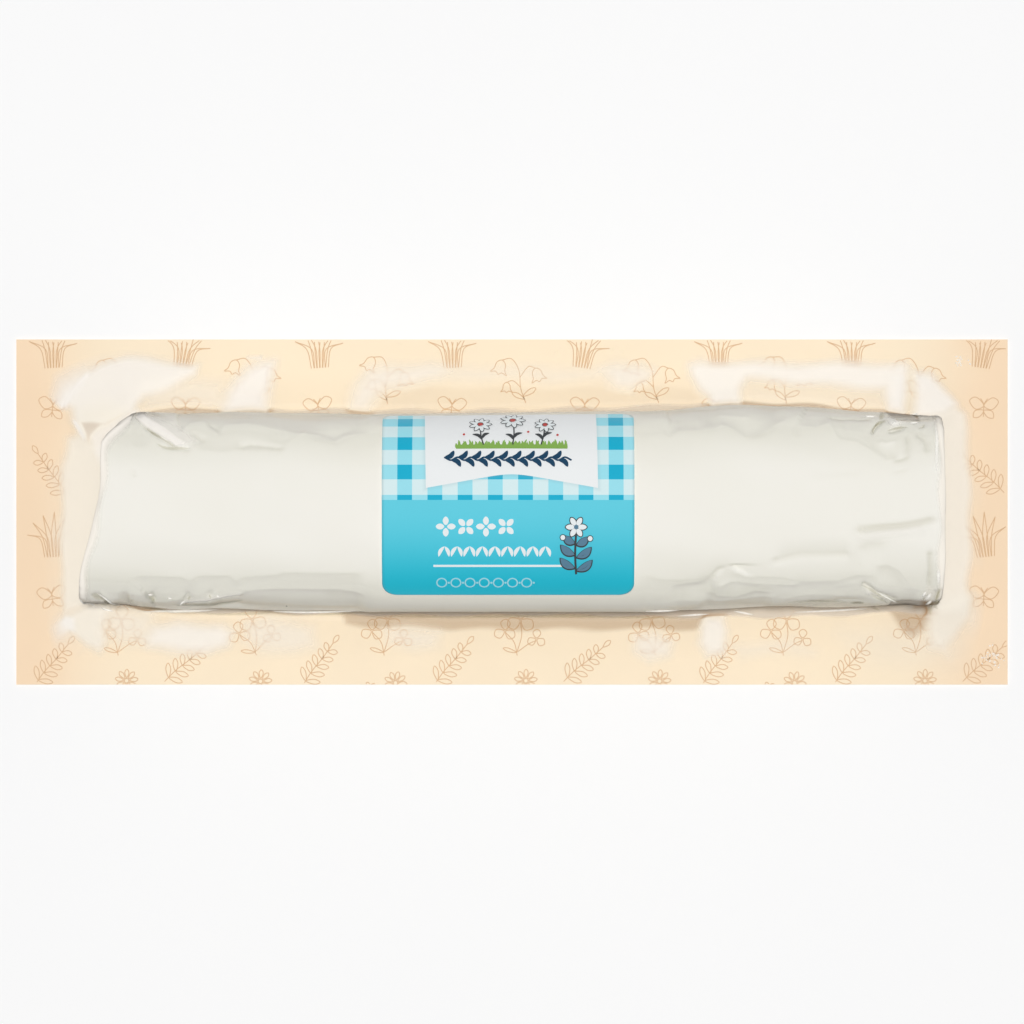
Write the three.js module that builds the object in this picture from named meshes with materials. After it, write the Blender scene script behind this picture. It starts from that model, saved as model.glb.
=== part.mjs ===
// A vacuum-packed log of fresh goat cheese, lying on its base sheet with the label up.
// Millimetres, +Z up, +X along the log. The origin is the middle of the sheet's underside.
import * as THREE from "three";

const { lerp, clamp, smoothstep } = THREE.MathUtils;

// Base sheet: the stiff printed sheet that the clear film is sealed to.
const SHEET_LENGTH = 198.2;
const SHEET_WIDTH = 69;
const SHEET_THICKNESS = 0.4;

// Touching pieces stay this far apart.
const SHEET_GAP = 0.2;
const LOG_GAP = 0.3;

// Log: cheese with the film drawn tight over it.
const LOG_LEFT = -84.9;
const LOG_RIGHT = 84.2;
const LOG_FOOT = SHEET_THICKNESS + SHEET_GAP;
const LOG_WAIST = 17; // height of the widest line
const LOG_TOP = 36.4;
const LOG_SAG = 18.4; // depth of the lower half, before its foot is pressed flat
const UPPER_ROUNDNESS = 2.8; // exponents of the section's outline: 2 is round, more is square
const LOWER_ROUNDNESS = 3;
const LOG_END_ROUND = 1;
const SLIMMEST = 0.02; // share of a section's reach that an end's innermost ring keeps at least
// The log's two long edges in plan, as distance along it and distance from its middle.
const BACK_EDGE = [
  [-85, 19.4],
  [-61, 19.9],
  [-26, 19.5],
  [25, 20],
  [46, 21.3],
  [57, 20.9],
  [85, 18.9],
];
const FRONT_EDGE = [
  [-85, 18],
  [-61, 19.4],
  [-26, 19.8],
  [25, 19.8],
  [57, 18.8],
  [85, 18.5],
];
// The left end face leans in towards the back, and its back corner is drawn in by the film.
const LEFT_LEAN = 4.9;
const LEFT_LEAN_FROM = -19;
const LEFT_LEAN_TO = 7;
const LEFT_CORNER_FROM = 13.5;
const LEFT_CORNER_SPAN = 6;
const LEFT_CORNER_CUT = 5.4;
const LEFT_CORNER_POWER = 1.4;
const END_BLEND = 26; // length over which a lean or cut of the end fades out

// Folds of the tight film: ends in plan, height (a hollow is negative) and half width.
const FOLDS = [
  // The left end's back corner: the fold that the film makes over it, and the hollow beside it.
  { from: [-74, 19.2], to: [-59.5, 13.4], height: 0.9, width: 1.6 },
  { from: [-72.5, 16], to: [-64, 12], height: -0.6, width: 1.7 },
  // The ledge along the left half's back shoulder, and the bulge on the right half's.
  { from: [-68, 13.4], to: [-35, 13.2], height: 0.55, width: 2.2 },
  { from: [36, 14], to: [57, 14.4], height: 0.5, width: 3.4 },
  // The crumple near the right end's back corner.
  { from: [69, 17.6], to: [82, 16.4], height: -0.7, width: 1.7 },
  { from: [71, 13], to: [82, 12.2], height: 0.5, width: 1.8 },
  // The long wrinkle and the crease on the right half's top.
  { from: [66, -3.6], to: [82, -1.8], height: -0.45, width: 1.6 },
  { from: [51, -8.4], to: [76, -6.4], height: 0.4, width: 1.9 },
  // A dent in the front shoulder at each end.
  { from: [70, -15], to: [80, -12.5], height: -0.7, width: 2.4 },
  { from: [-80, -13], to: [-68, -15.6], height: -0.7, width: 2.2 },
];
const WOBBLE = 0.22; // height of the film's broad unevenness

// Film between the log and the sheet's edge.
const FILM_THICKNESS = 0.3;
const CAVITY_CENTRE_X = 2.2; // the formed pocket sits a little off the sheet's middle
const CAVITY_LENGTH = 185;
const CAVITY_WIDTH = 62.6;
const CAVITY_CORNER = 15;
const SIDE_CLEAR = 1.4; // from the log's smooth side to the film's slope
const END_CLEAR = 0.8; // and from its ends
const SIDE_WEB = 9; // height of the film's slope along the log's sides
const END_WEB = 6; // and at its ends
const CORNER_WEB = 8; // and at its four corners, where the spare film gathers
const WEB_SHARPNESS = 5; // power of the slope's fall: more is steeper at the log
const RING_CROWDING = 1.25; // how much closer together the slope's rings are near the log
const CORNER_LOBE = 2.4; // swell of the loose film in the pocket's corners
const PLEAT = 0.35; // half height of the loose film's pleats
const PLEAT_STEP = 1.9; // turn of the pleats' wave from one section to the next

// Label, bent over the log's top and stuck to the film.
const LABEL_CENTRE_X = -0.75;
const LABEL_WIDTH = 49;
const LABEL_BACK_ARC = 22.8; // from the crown towards the back, along the surface
const LABEL_FRONT_ARC = 17.1;
const LABEL_FRONT_CORNER = 2.9;
const LABEL_BACK_CORNER = 2.1;
const LABEL_THICKNESS = 0.25;
const LABEL_CLEAR = 3; // the folds stop this far from the label

// Steps of the meshes.
const LOG_STATIONS = 54;
const SECTION_STEPS = 46;
const CAP_RINGS = 3;
const LONG_SIDE_STEPS = 42;
const SHORT_SIDE_STEPS = 22;
const SLOPE_RINGS = 8;
const LABEL_COLUMNS = 14;
const LABEL_ROWS = 16;
const CORNER_STEPS = 4;
const ARC_SAMPLES = 240;

// The value at x of a smooth line through a few points.
function along(points, x) {
  const last = points.length - 1;
  if (x <= points[0][0]) return points[0][1];
  if (x >= points[last][0]) return points[last][1];
  const i = points.findIndex((point) => point[0] > x) - 1;
  const share = smoothstep(x, points[i][0], points[i + 1][0]);
  return lerp(points[i][1], points[i + 1][1], share);
}

// One point of the log's smooth section at x. Angle 0 is at the back, a quarter turn at the crown.
function sectionPoint(x, angle) {
  const side = Math.cos(angle);
  const rise = Math.sin(angle);
  const upper = rise >= 0;
  const power = 2 / (upper ? UPPER_ROUNDNESS : LOWER_ROUNDNESS);
  const halfWidth = side >= 0 ? along(BACK_EDGE, x) : along(FRONT_EDGE, x);
  const halfHeight = upper ? LOG_TOP - LOG_WAIST : LOG_SAG;
  const y = Math.sign(side) * halfWidth * Math.abs(side) ** power;
  const z = LOG_WAIST + Math.sign(rise) * halfHeight * Math.abs(rise) ** power;
  return new THREE.Vector3(x, y, Math.max(z, LOG_FOOT));
}

// How far the left end face stands back from its foremost point, at y.
function leftEndCut(y) {
  const lean = LEFT_LEAN * smoothstep(y, LEFT_LEAN_FROM, LEFT_LEAN_TO);
  const corner = clamp((y - LEFT_CORNER_FROM) / LEFT_CORNER_SPAN, 0, 1.2);
  return lean + LEFT_CORNER_CUT * corner ** LEFT_CORNER_POWER;
}

function distanceToSegment(x, y, from, to) {
  const run = [to[0] - from[0], to[1] - from[1]];
  const lengthSquared = run[0] ** 2 + run[1] ** 2;
  const share = clamp(((x - from[0]) * run[0] + (y - from[1]) * run[1]) / lengthSquared, 0, 1);
  return Math.hypot(x - from[0] - share * run[0], y - from[1] - share * run[1]);
}

// 0 under the label, 1 away from it.
function labelMask(x) {
  const beyond = Math.abs(x - LABEL_CENTRE_X) - LABEL_WIDTH / 2;
  return smoothstep(beyond, 0, LABEL_CLEAR);
}

// Height of the film's folds and unevenness over the smooth section.
function relief(point) {
  const { x, y, z } = point;
  const upper = smoothstep(z, LOG_WAIST - 4, LOG_WAIST + 4);
  let height = WOBBLE * Math.sin(x * 0.21 + y * 0.3) * Math.cos(y * 0.24 - x * 0.07 + z * 0.2);
  for (const fold of FOLDS) {
    const away = distanceToSegment(x, y, fold.from, fold.to) / fold.width;
    height += upper * fold.height * Math.exp(-away * away);
  }
  return height * labelMask(x) * smoothstep(z, LOG_FOOT, LOG_FOOT + 3);
}

// One ring of the log's skin: the section at x, drawn in by `inset` and moved to the end's slant.
function logRing(x, inset) {
  return Array.from({ length: SECTION_STEPS }, (_, i) => {
    const point = sectionPoint(x, (2 * Math.PI * i) / SECTION_STEPS);
    const out = new THREE.Vector3(0, point.y, point.z - LOG_WAIST);
    const reach = out.length();
    out.setLength(Math.max(reach + relief(point) - inset, reach * SLIMMEST));
    const left = smoothstep(-x, -LOG_LEFT - END_BLEND, -LOG_LEFT);
    const shift = left * left * leftEndCut(out.y);
    return new THREE.Vector3(x + shift, out.y, Math.max(LOG_WAIST + out.z, LOG_FOOT));
  });
}

// A closed skin over rings of equally many points, with a pole at each end.
function skinOverRings(rings) {
  const count = rings[0].length;
  const poleOf = (ring) =>
    ring.reduce((sum, point) => sum.add(point), new THREE.Vector3()).divideScalar(count);
  const points = [...rings.flat(), poleOf(rings[0]), poleOf(rings.at(-1))];
  const startPole = rings.length * count;
  const lastRing = (rings.length - 1) * count;
  const faces = [];
  for (let i = 0; i < count; i++) {
    const next = (i + 1) % count;
    faces.push(startPole, next, i);
    faces.push(startPole + 1, lastRing + i, lastRing + next);
    for (let r = 0; r < rings.length - 1; r++) {
      const a = r * count;
      const b = a + count;
      faces.push(a + i, a + next, b + next);
      faces.push(a + i, b + next, b + i);
    }
  }
  return geometryOf(points, faces);
}

function geometryOf(points, faces) {
  const geometry = new THREE.BufferGeometry().setFromPoints(points);
  geometry.setIndex(faces);
  geometry.computeVertexNormals();
  return geometry;
}

// The insets and places of an end's rings: a rounded edge, then the flat face.
function endRings(endX, direction) {
  const rings = [];
  for (let i = 0; i <= CORNER_STEPS; i++) {
    const turn = (Math.PI / 2) * (i / CORNER_STEPS);
    const inset = LOG_END_ROUND * (1 - Math.cos(turn));
    rings.push(logRing(endX - direction * LOG_END_ROUND * (1 - Math.sin(turn)), inset));
  }
  for (let i = 1; i <= CAP_RINGS; i++) {
    rings.push(logRing(endX, LOG_END_ROUND + (i / (CAP_RINGS + 0.6)) * (LOG_WAIST - LOG_END_ROUND)));
  }
  return rings;
}

function cheeseLog() {
  const from = LOG_LEFT + LOG_END_ROUND;
  const to = LOG_RIGHT - LOG_END_ROUND;
  const body = [];
  for (let i = 1; i < LOG_STATIONS; i++) {
    body.push(logRing(lerp(from, to, i / LOG_STATIONS), 0));
  }
  return skinOverRings([...endRings(LOG_LEFT, -1).reverse(), ...body, ...endRings(LOG_RIGHT, 1)]);
}

function backingSheet() {
  const geometry = new THREE.BoxGeometry(SHEET_LENGTH, SHEET_WIDTH, SHEET_THICKNESS);
  geometry.translate(0, 0, SHEET_THICKNESS / 2);
  return geometry;
}

// Walks once round a square of half side 1, with the steps closer together near its corners.
function squareWalk() {
  const walk = [];
  const spread = (t) => lerp(2 * t - 1, -Math.cos(Math.PI * t), 0.55);
  const sides = [
    [LONG_SIDE_STEPS, (s) => [s, -1]],
    [SHORT_SIDE_STEPS, (s) => [1, s]],
    [LONG_SIDE_STEPS, (s) => [-s, 1]],
    [SHORT_SIDE_STEPS, (s) => [-1, -s]],
  ];
  for (const [steps, place] of sides) {
    for (let i = 0; i < steps; i++) walk.push(place(spread(i / steps)));
  }
  return walk;
}

// The same walk on a rectangle with round corners.
function onRoundedRectangle([p, q], halfLength, halfWidth, radius) {
  const x = Math.abs(p) * halfLength;
  const y = Math.abs(q) * halfWidth;
  const corner = new THREE.Vector2(x - halfLength + radius, y - halfWidth + radius);
  if (corner.x > 0 && corner.y > 0) corner.setLength(radius);
  const placedX = corner.x + halfLength - radius;
  const placedY = corner.y + halfWidth - radius;
  return new THREE.Vector2(Math.sign(p) * placedX, Math.sign(q) * placedY);
}

// The log's plan outline at height z, where the film leaves it, just clear of its surface.
function logOutline([p, q], z) {
  const endX = p > 0 ? LOG_RIGHT : LOG_LEFT;
  const lower = ((LOG_WAIST - Math.min(z, LOG_WAIST)) / LOG_SAG) ** LOWER_ROUNDNESS;
  const flank = (1 - lower) ** (1 / LOWER_ROUNDNESS);
  const x = endX * Math.abs(p);
  const edge = q > 0 ? along(BACK_EDGE, x) : along(FRONT_EDGE, x);
  const halfWidth = edge * flank + SIDE_CLEAR;
  const halfLength = Math.abs(endX) + END_CLEAR;
  const place = onRoundedRectangle([p, q], halfLength, halfWidth, LOG_END_ROUND);
  const left = smoothstep(-place.x, -LOG_LEFT - END_BLEND, -LOG_LEFT);
  place.x += left * left * leftEndCut(place.y) * 0.9;
  return place;
}

// How much a place on the walk belongs to a corner (1) or to the middle of a side (0).
function cornerShare([p, q]) {
  return smoothstep(Math.abs(p), 0.72, 1) * smoothstep(Math.abs(q), 0.2, 1);
}

// The film's section at one place of the walk, from the log out to the sheet's edge and back below.
function filmSection(place, index) {
  const corner = cornerShare(place);
  const end = smoothstep(Math.abs(place[0]), 0.94, 1);
  const web = lerp(lerp(SIDE_WEB, END_WEB, end), CORNER_WEB, corner);
  const inner = logOutline(place, web);
  const pocket = onRoundedRectangle(place, CAVITY_LENGTH / 2, CAVITY_WIDTH / 2, CAVITY_CORNER);
  pocket.x += CAVITY_CENTRE_X;
  const edge = new THREE.Vector2(place[0] * SHEET_LENGTH / 2, place[1] * SHEET_WIDTH / 2);
  const under = SHEET_THICKNESS + SHEET_GAP;
  const flange = under + FILM_THICKNESS;
  const section = [new THREE.Vector3(inner.x, inner.y, under)];
  for (let i = 0; i <= SLOPE_RINGS; i++) {
    const share = (i / SLOPE_RINGS) ** RING_CROWDING;
    const slope = (web - flange) * (1 - share) ** WEB_SHARPNESS;
    const lobe = corner * CORNER_LOBE * Math.sin(Math.PI * share) ** 2;
    const pleat = PLEAT * (1 + Math.sin(index * PLEAT_STEP)) * Math.sin(Math.PI * share);
    const at = inner.clone().lerp(pocket, share);
    section.push(new THREE.Vector3(at.x, at.y, flange + slope + lobe + pleat));
  }
  section.push(new THREE.Vector3(edge.x, edge.y, flange));
  section.push(new THREE.Vector3(edge.x, edge.y, under));
  return section;
}

// A closed skin over sections that follow each other in a ring.
function skinRoundRing(sections) {
  const count = sections[0].length;
  const faces = [];
  sections.forEach((section, s) => {
    const a = s * count;
    const b = ((s + 1) % sections.length) * count;
    for (let i = 0; i < count; i++) {
      const next = (i + 1) % count;
      faces.push(a + i, b + next, b + i);
      faces.push(a + i, a + next, b + next);
    }
  });
  return geometryOf(sections.flat(), faces);
}

function clearFilm() {
  return skinRoundRing(squareWalk().map(filmSection));
}

// Points and outward directions along the smooth section at x, by distance from the crown.
function crownArc(x) {
  const step = Math.PI / ARC_SAMPLES;
  const samples = [];
  for (let i = 0; i <= ARC_SAMPLES; i++) samples.push(sectionPoint(x, i * step));
  const lengths = [0];
  for (let i = 1; i <= ARC_SAMPLES; i++) {
    lengths.push(lengths[i - 1] + samples[i].distanceTo(samples[i - 1]));
  }
  const crown = lengths[ARC_SAMPLES / 2];
  return (distance, height) => {
    const wanted = crown - distance;
    const i = clamp(lengths.findIndex((length) => length > wanted), 1, ARC_SAMPLES);
    const share = (wanted - lengths[i - 1]) / (lengths[i] - lengths[i - 1]);
    const run = samples[i].clone().sub(samples[i - 1]).normalize();
    const out = new THREE.Vector3(0, run.z, -run.y);
    return samples[i - 1].clone().lerp(samples[i], share).addScaledVector(out, height);
  };
}

// A plate closed between two grids of the same size, the first one outside.
function plate(outer, inner) {
  const rows = outer.length;
  const columns = outer[0].length;
  const at = (row, column, side) => (side * rows + row) * columns + column;
  const faces = [];
  const quad = (a, b, c, d) => faces.push(a, b, c, a, c, d);
  for (let r = 0; r < rows - 1; r++) {
    for (let c = 0; c < columns - 1; c++) {
      quad(at(r, c, 0), at(r, c + 1, 0), at(r + 1, c + 1, 0), at(r + 1, c, 0));
      quad(at(r, c, 1), at(r + 1, c, 1), at(r + 1, c + 1, 1), at(r, c + 1, 1));
    }
    const end = columns - 1;
    quad(at(r, 0, 1), at(r, 0, 0), at(r + 1, 0, 0), at(r + 1, 0, 1));
    quad(at(r, end, 0), at(r, end, 1), at(r + 1, end, 1), at(r + 1, end, 0));
  }
  for (let c = 0; c < columns - 1; c++) {
    const end = rows - 1;
    quad(at(0, c, 1), at(0, c + 1, 1), at(0, c + 1, 0), at(0, c, 0));
    quad(at(end, c, 0), at(end, c + 1, 0), at(end, c + 1, 1), at(end, c, 1));
  }
  return geometryOf([...outer.flat(), ...inner.flat()], faces);
}

// The label's rows from front to back, with its half width at each: less in the round corners.
function labelRows() {
  const roundedEdge = (radius) =>
    Array.from({ length: CORNER_STEPS + 1 }, (_, i) => {
      const turn = (Math.PI / 2) * (i / CORNER_STEPS);
      return [radius * (1 - Math.cos(turn)), LABEL_WIDTH / 2 - radius * (1 - Math.sin(turn))];
    });
  const arc = LABEL_FRONT_ARC + LABEL_BACK_ARC;
  const near = roundedEdge(LABEL_FRONT_CORNER);
  const far = roundedEdge(LABEL_BACK_CORNER).map(([fromEdge, half]) => [arc - fromEdge, half]);
  const middle = [];
  for (let i = 1; i < LABEL_ROWS; i++) {
    const distance = lerp(LABEL_FRONT_CORNER, arc - LABEL_BACK_CORNER, i / LABEL_ROWS);
    middle.push([distance, LABEL_WIDTH / 2]);
  }
  const rows = [...near, ...middle, ...far.reverse()];
  return rows.map(([distance, half]) => [distance - LABEL_FRONT_ARC, half]);
}

function label() {
  const side = (height) =>
    labelRows().map(([distance, half]) =>
      Array.from({ length: LABEL_COLUMNS + 1 }, (_, c) => {
        const x = LABEL_CENTRE_X + half * ((2 * c) / LABEL_COLUMNS - 1);
        return crownArc(x)(distance, height);
      }),
    );
  return plate(side(LOG_GAP + LABEL_THICKNESS), side(LOG_GAP));
}

const SUB_PARTS = [
  ["backing_sheet", backingSheet, { color: "#fce9cf", roughness: 0.6 }],
  ["cheese_log", cheeseLog, { color: "#f1f0e5", roughness: 0.35 }],
  ["clear_film", clearFilm, { color: "#faf2e8", roughness: 0.12 }],
  ["label", label, { color: "#4ac6db", roughness: 0.4 }],
];

const pack = new THREE.Group();
for (const [name, build, look] of SUB_PARTS) {
  const mesh = new THREE.Mesh(build(), new THREE.MeshStandardMaterial({ metalness: 0, ...look }));
  mesh.name = name;
  pack.add(mesh);
}

export default pack;
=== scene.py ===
"""Looks of a vacuum-packed log of fresh goat cheese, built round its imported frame.

Lengths in this script are millimetres, and each mesh is turned into metres as it is made.
"""

import math

import bmesh
import bpy
import numpy as np
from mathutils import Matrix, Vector, noise
from mathutils.bvhtree import BVHTree


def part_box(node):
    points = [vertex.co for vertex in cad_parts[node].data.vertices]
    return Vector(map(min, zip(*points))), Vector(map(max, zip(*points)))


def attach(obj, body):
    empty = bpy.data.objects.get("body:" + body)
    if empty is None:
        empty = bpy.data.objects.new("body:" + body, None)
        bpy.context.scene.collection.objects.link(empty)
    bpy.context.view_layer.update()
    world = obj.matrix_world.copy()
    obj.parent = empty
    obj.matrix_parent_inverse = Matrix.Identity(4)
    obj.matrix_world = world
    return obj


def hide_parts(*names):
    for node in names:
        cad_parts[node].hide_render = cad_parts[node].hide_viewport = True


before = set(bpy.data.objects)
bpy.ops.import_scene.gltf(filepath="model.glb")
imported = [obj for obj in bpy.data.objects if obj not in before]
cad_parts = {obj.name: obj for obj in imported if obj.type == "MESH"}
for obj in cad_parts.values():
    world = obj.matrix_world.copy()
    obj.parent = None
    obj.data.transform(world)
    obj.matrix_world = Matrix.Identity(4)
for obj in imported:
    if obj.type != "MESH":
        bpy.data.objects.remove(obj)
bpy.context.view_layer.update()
MM = 0.001


# Base sheet. The real one is a stiff plastic film a few tenths of a millimetre thick, printed in peach.
# The log lies on it, and the clear film is heat-sealed to it round the edge. Its solid has the right
# shape, so it only gets its finish here.
_, sheet_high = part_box("backing_sheet")
SHEET_HALF_LENGTH = sheet_high.x / MM
SHEET_HALF_WIDTH = sheet_high.y / MM
SHEET_TOP = sheet_high.z / MM
PEACH = (0.98, 0.83, 0.62)
DEEP_PEACH = (0.965, 0.745, 0.522)


def feed(tree, socket, value):
    """Sets a node's input to a value, or links it to another node's output."""
    if isinstance(value, bpy.types.NodeSocket):
        tree.links.new(value, socket)
    else:
        socket.default_value = value


def node(tree, kind, inputs=None, **settings):
    """A shader node of a kind, with its settings and inputs."""
    made = tree.nodes.new("ShaderNode" + kind)
    for name, value in settings.items():
        setattr(made, name, value)
    for name, value in (inputs or {}).items():
        feed(tree, made.inputs[name], value)
    return made


def maths(tree, operation, *values, clamp=False):
    """The output of a Math node."""
    inputs = dict(enumerate(values))
    return node(tree, "Math", inputs, operation=operation, use_clamp=clamp).outputs[0]


def blend_colours(tree, share, first, second):
    """The output of a colour Mix node."""
    made = node(tree, "Mix", data_type="RGBA")
    for name, value in (("Factor_Float", share), ("A_Color", first), ("B_Color", second)):
        socket = next(s for s in made.inputs if s.identifier == name)
        feed(tree, socket, (*value, 1) if isinstance(value, tuple) else value)
    return next(s for s in made.outputs if s.identifier == "Result_Color")


def stepped(tree, value, low, high):
    """0 below low and 1 above high, with a smooth rise between them."""
    made = node(tree, "MapRange", {0: value, 1: low, 2: high}, interpolation_type="SMOOTHSTEP")
    return made.outputs[0]


def place_on(tree):
    """The place on the object, in metres."""
    return node(tree, "TexCoord").outputs["Object"]


def cloudy(tree, place, scale, detail=2):
    """The output of a Noise node."""
    return node(tree, "TexNoise", {"Vector": place, "Scale": scale, "Detail": detail}).outputs[0]


def bumpy(tree, height, strength, distance):
    """The output of a Bump node."""
    values = {"Height": height, "Strength": strength, "Distance": distance}
    return node(tree, "Bump", values).outputs[0]


def principled(tree, values):
    """The output of a Principled shader."""
    return node(tree, "BsdfPrincipled", values).outputs[0]


def new_material(name):
    """A material, its empty tree, and the input for its surface."""
    material = bpy.data.materials.new(name)
    material.use_nodes = True
    tree = material.node_tree
    tree.nodes.clear()
    return material, tree, node(tree, "OutputMaterial").inputs["Surface"]


def new_group(name, inputs, outputs):
    """A shader node group with named sockets, and its input and output nodes."""
    tree = bpy.data.node_groups.new(name, "ShaderNodeTree")
    for socket, kind, value in inputs:
        tree.interface.new_socket(socket, in_out="INPUT", socket_type=kind).default_value = value
    for socket, kind in outputs:
        tree.interface.new_socket(socket, in_out="OUTPUT", socket_type=kind)
    return tree, tree.nodes.new("NodeGroupInput"), tree.nodes.new("NodeGroupOutput")


def place_group(tree, group, **values):
    """A group in a material, with its own values. An underscore in a name stands for a space."""
    inputs = {name.replace("_", " "): value for name, value in values.items()}
    return node(tree, "Group", inputs, node_tree=group).outputs


def make_print_unevenness():
    """Ink that lies a little unevenly: a colour with soft cloudy changes and a fine grain."""
    sockets_in = [("Color", "NodeSocketColor", (1, 1, 1, 1)), ("Cloud Size", "NodeSocketFloat", 0.02),
                  ("Strength", "NodeSocketFloat", 0.05)]
    sockets_out = [("Color", "NodeSocketColor"), ("Roughness Change", "NodeSocketFloat")]
    tree, given, result = new_group("print unevenness", sockets_in, sockets_out)
    at = place_on(tree)
    cloud = cloudy(tree, at, maths(tree, "DIVIDE", 1, given.outputs["Cloud Size"]), 3)
    grain = maths(tree, "MULTIPLY", cloudy(tree, at, 2600, 1), 0.6)
    centred = maths(tree, "SUBTRACT", maths(tree, "MULTIPLY_ADD", cloud, 1.4, grain), 1)
    change = maths(tree, "MULTIPLY", centred, given.outputs["Strength"])
    scaled = {0: given.outputs["Color"], "Scale": maths(tree, "ADD", change, 1)}
    colour = node(tree, "VectorMath", scaled, operation="SCALE").outputs[0]
    feed(tree, result.inputs["Color"], colour)
    feed(tree, result.inputs["Roughness Change"], change)
    return tree


print_unevenness = make_print_unevenness()


def sheet_material():
    """Peach print under a clear layer: deeper towards the two ends, a little cloudy, softly glossy."""
    material, tree, surface = new_material("printed sheet")
    at = place_on(tree)
    along_sheet = maths(tree, "ABSOLUTE", node(tree, "SeparateXYZ", {0: at}).outputs["X"])
    wander = maths(tree, "SUBTRACT", cloudy(tree, at, 45), 0.5)
    edge = maths(tree, "MULTIPLY_ADD", wander, 0.012, along_sheet)
    colour = blend_colours(tree, stepped(tree, edge, 0.078, 0.097), PEACH, DEEP_PEACH)
    ink = place_group(tree, print_unevenness, Color=colour, Cloud_Size=0.018, Strength=0.05)
    feed(tree, surface, principled(tree, {
        "Base Color": ink["Color"],
        "Roughness": maths(tree, "ADD", ink["Roughness Change"], 0.38),
        "Normal": bumpy(tree, cloudy(tree, at, 900), 0.12, 0.0001),
        "Coat Weight": 0.2,
    }))
    return material


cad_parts["backing_sheet"].material_slots[0].material = sheet_material()


# Print on the base sheet: thin orange-brown line drawings of meadow plants and butterflies, in columns
# that are shifted by half a row. The real ink lies under the sheet's clear layer; here each line is a flat
# ribbon just above the sheet.
INK_LIFT = 0.02
LINE_WIDTH = 0.17
LINE_STEP = 0.003
LINE_LEVELS = 7
COLUMN_PITCH = 13.3
ROW_PITCH = 12.6
LINE_INK = (0.74, 0.485, 0.275)


def smooth_line(points, closed=False, steps=5):
    """A smooth line through a few points: Catmull-Rom, with steps pieces between each two."""
    points = np.array(points, float)
    count = len(points)
    if closed:
        around = np.vstack([points[-1], points, points[:2]])
    else:
        around = np.vstack([2 * points[0] - points[1], points, 2 * points[-1] - points[-2]])
    made = []
    for i in range(count if closed else count - 1):
        a, b, c, d = around[i:i + 4]
        for t in np.arange(steps) / steps:
            made.append(0.5 * (2 * b + (c - a) * t + (2 * a - 5 * b + 4 * c - d) * t**2
                               + (3 * b - a - 3 * c + d) * t**3))
    return np.array(made if closed else [*made, points[-1]])


def quads(grid):
    """Faces between the neighbouring rows and columns of a grid of point numbers."""
    corners = grid[:-1, :-1], grid[1:, :-1], grid[1:, 1:], grid[:-1, 1:]
    return np.stack(corners, -1).reshape(-1, 4).tolist()


def strip(line, width, closed=False, across=1):
    """A flat ribbon along a line, as (points, faces). Its width is one number or one for each point."""
    forward = np.roll(line, -1, 0) - np.roll(line, 1, 0)
    if not closed:
        forward[0] = line[1] - line[0]
        forward[-1] = line[-1] - line[-2]
    forward /= np.maximum(np.linalg.norm(forward, axis=1, keepdims=True), 1e-9)
    sideways = np.stack([-forward[:, 1], forward[:, 0]], 1) * np.broadcast_to(width, len(line))[:, None]
    columns = [line + sideways * (k / across - 0.5) for k in range(across + 1)]
    grid = np.arange(len(line) * (across + 1)).reshape(len(line), -1)
    return np.stack(columns, 1).reshape(-1, 2), quads(np.vstack([grid, grid[:1]]) if closed else grid)


def gather(strips):
    """Many strips as one."""
    points, faces, start = [], [], 0
    for own_points, own_faces in strips:
        points.append(own_points)
        faces += [tuple(corner + start for corner in face) for face in own_faces]
        start += len(own_points)
    return np.vstack(points), faces


def make_mesh(name, points, faces, materials, kinds=None):
    """A mesh object from points in millimetres. Its faces' kinds are their places among the materials."""
    mesh = bpy.data.meshes.new(name)
    mesh.from_pydata((np.asarray(points) * MM).tolist(), [], faces)
    for material in materials:
        mesh.materials.append(material)
    if kinds:
        mesh.polygons.foreach_set("material_index", kinds)
    mesh.shade_smooth()
    made = bpy.data.objects.new(name, mesh)
    bpy.context.scene.collection.objects.link(made)
    return made


def turned(points, angle, scale=1.0):
    """Points turned about the origin, and scaled."""
    c, s = math.cos(angle) * scale, math.sin(angle) * scale
    return np.asarray(points, float) @ np.array([[c, s], [-s, c]])


def petal(centre, angle, near, far, half_width):
    """A petal's or leaf's outline: a loop that points away from a centre."""
    mid = near + 0.6 * (far - near)
    loop = [(near, 0), (mid, -half_width), (far, 0), (mid, half_width)]
    return smooth_line(turned(loop, angle) + centre, closed=True, steps=4), True


def stem(*points):
    return smooth_line(points), False


def leaf(at, angle, length, half_width=0.55):
    return petal(at, angle, 0, length, half_width)


def flower(centre, count, near, far, half_width, turn=0.3):
    """A round flower head: petals about a small heart."""
    petals = [petal(centre, turn + k * math.tau / count, near, far, half_width) for k in range(count)]
    heart = [turned([(near * 0.8, 0)], k * math.tau / 5)[0] + centre for k in range(5)]
    return [*petals, (smooth_line(heart, closed=True, steps=3), True)]


def daisies():
    return [
        stem((0.2, -5.2), (-0.2, -3.2), (-1.3, -1.4), (-1.7, 0.2)),
        stem((0, -3.6), (1.4, -2.2), (2.9, -1.4)),
        *flower((-1.8, 2.4), 9, 0.6, 2.3, 0.42), *flower((3.2, 0.2), 7, 0.45, 1.7, 0.38),
        leaf((0.1, -4.2), 2.7, 3.4), leaf((0.2, -4.4), 0.35, 3.6), leaf((-0.7, -2.2), 3, 2.2, 0.4),
    ]


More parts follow.
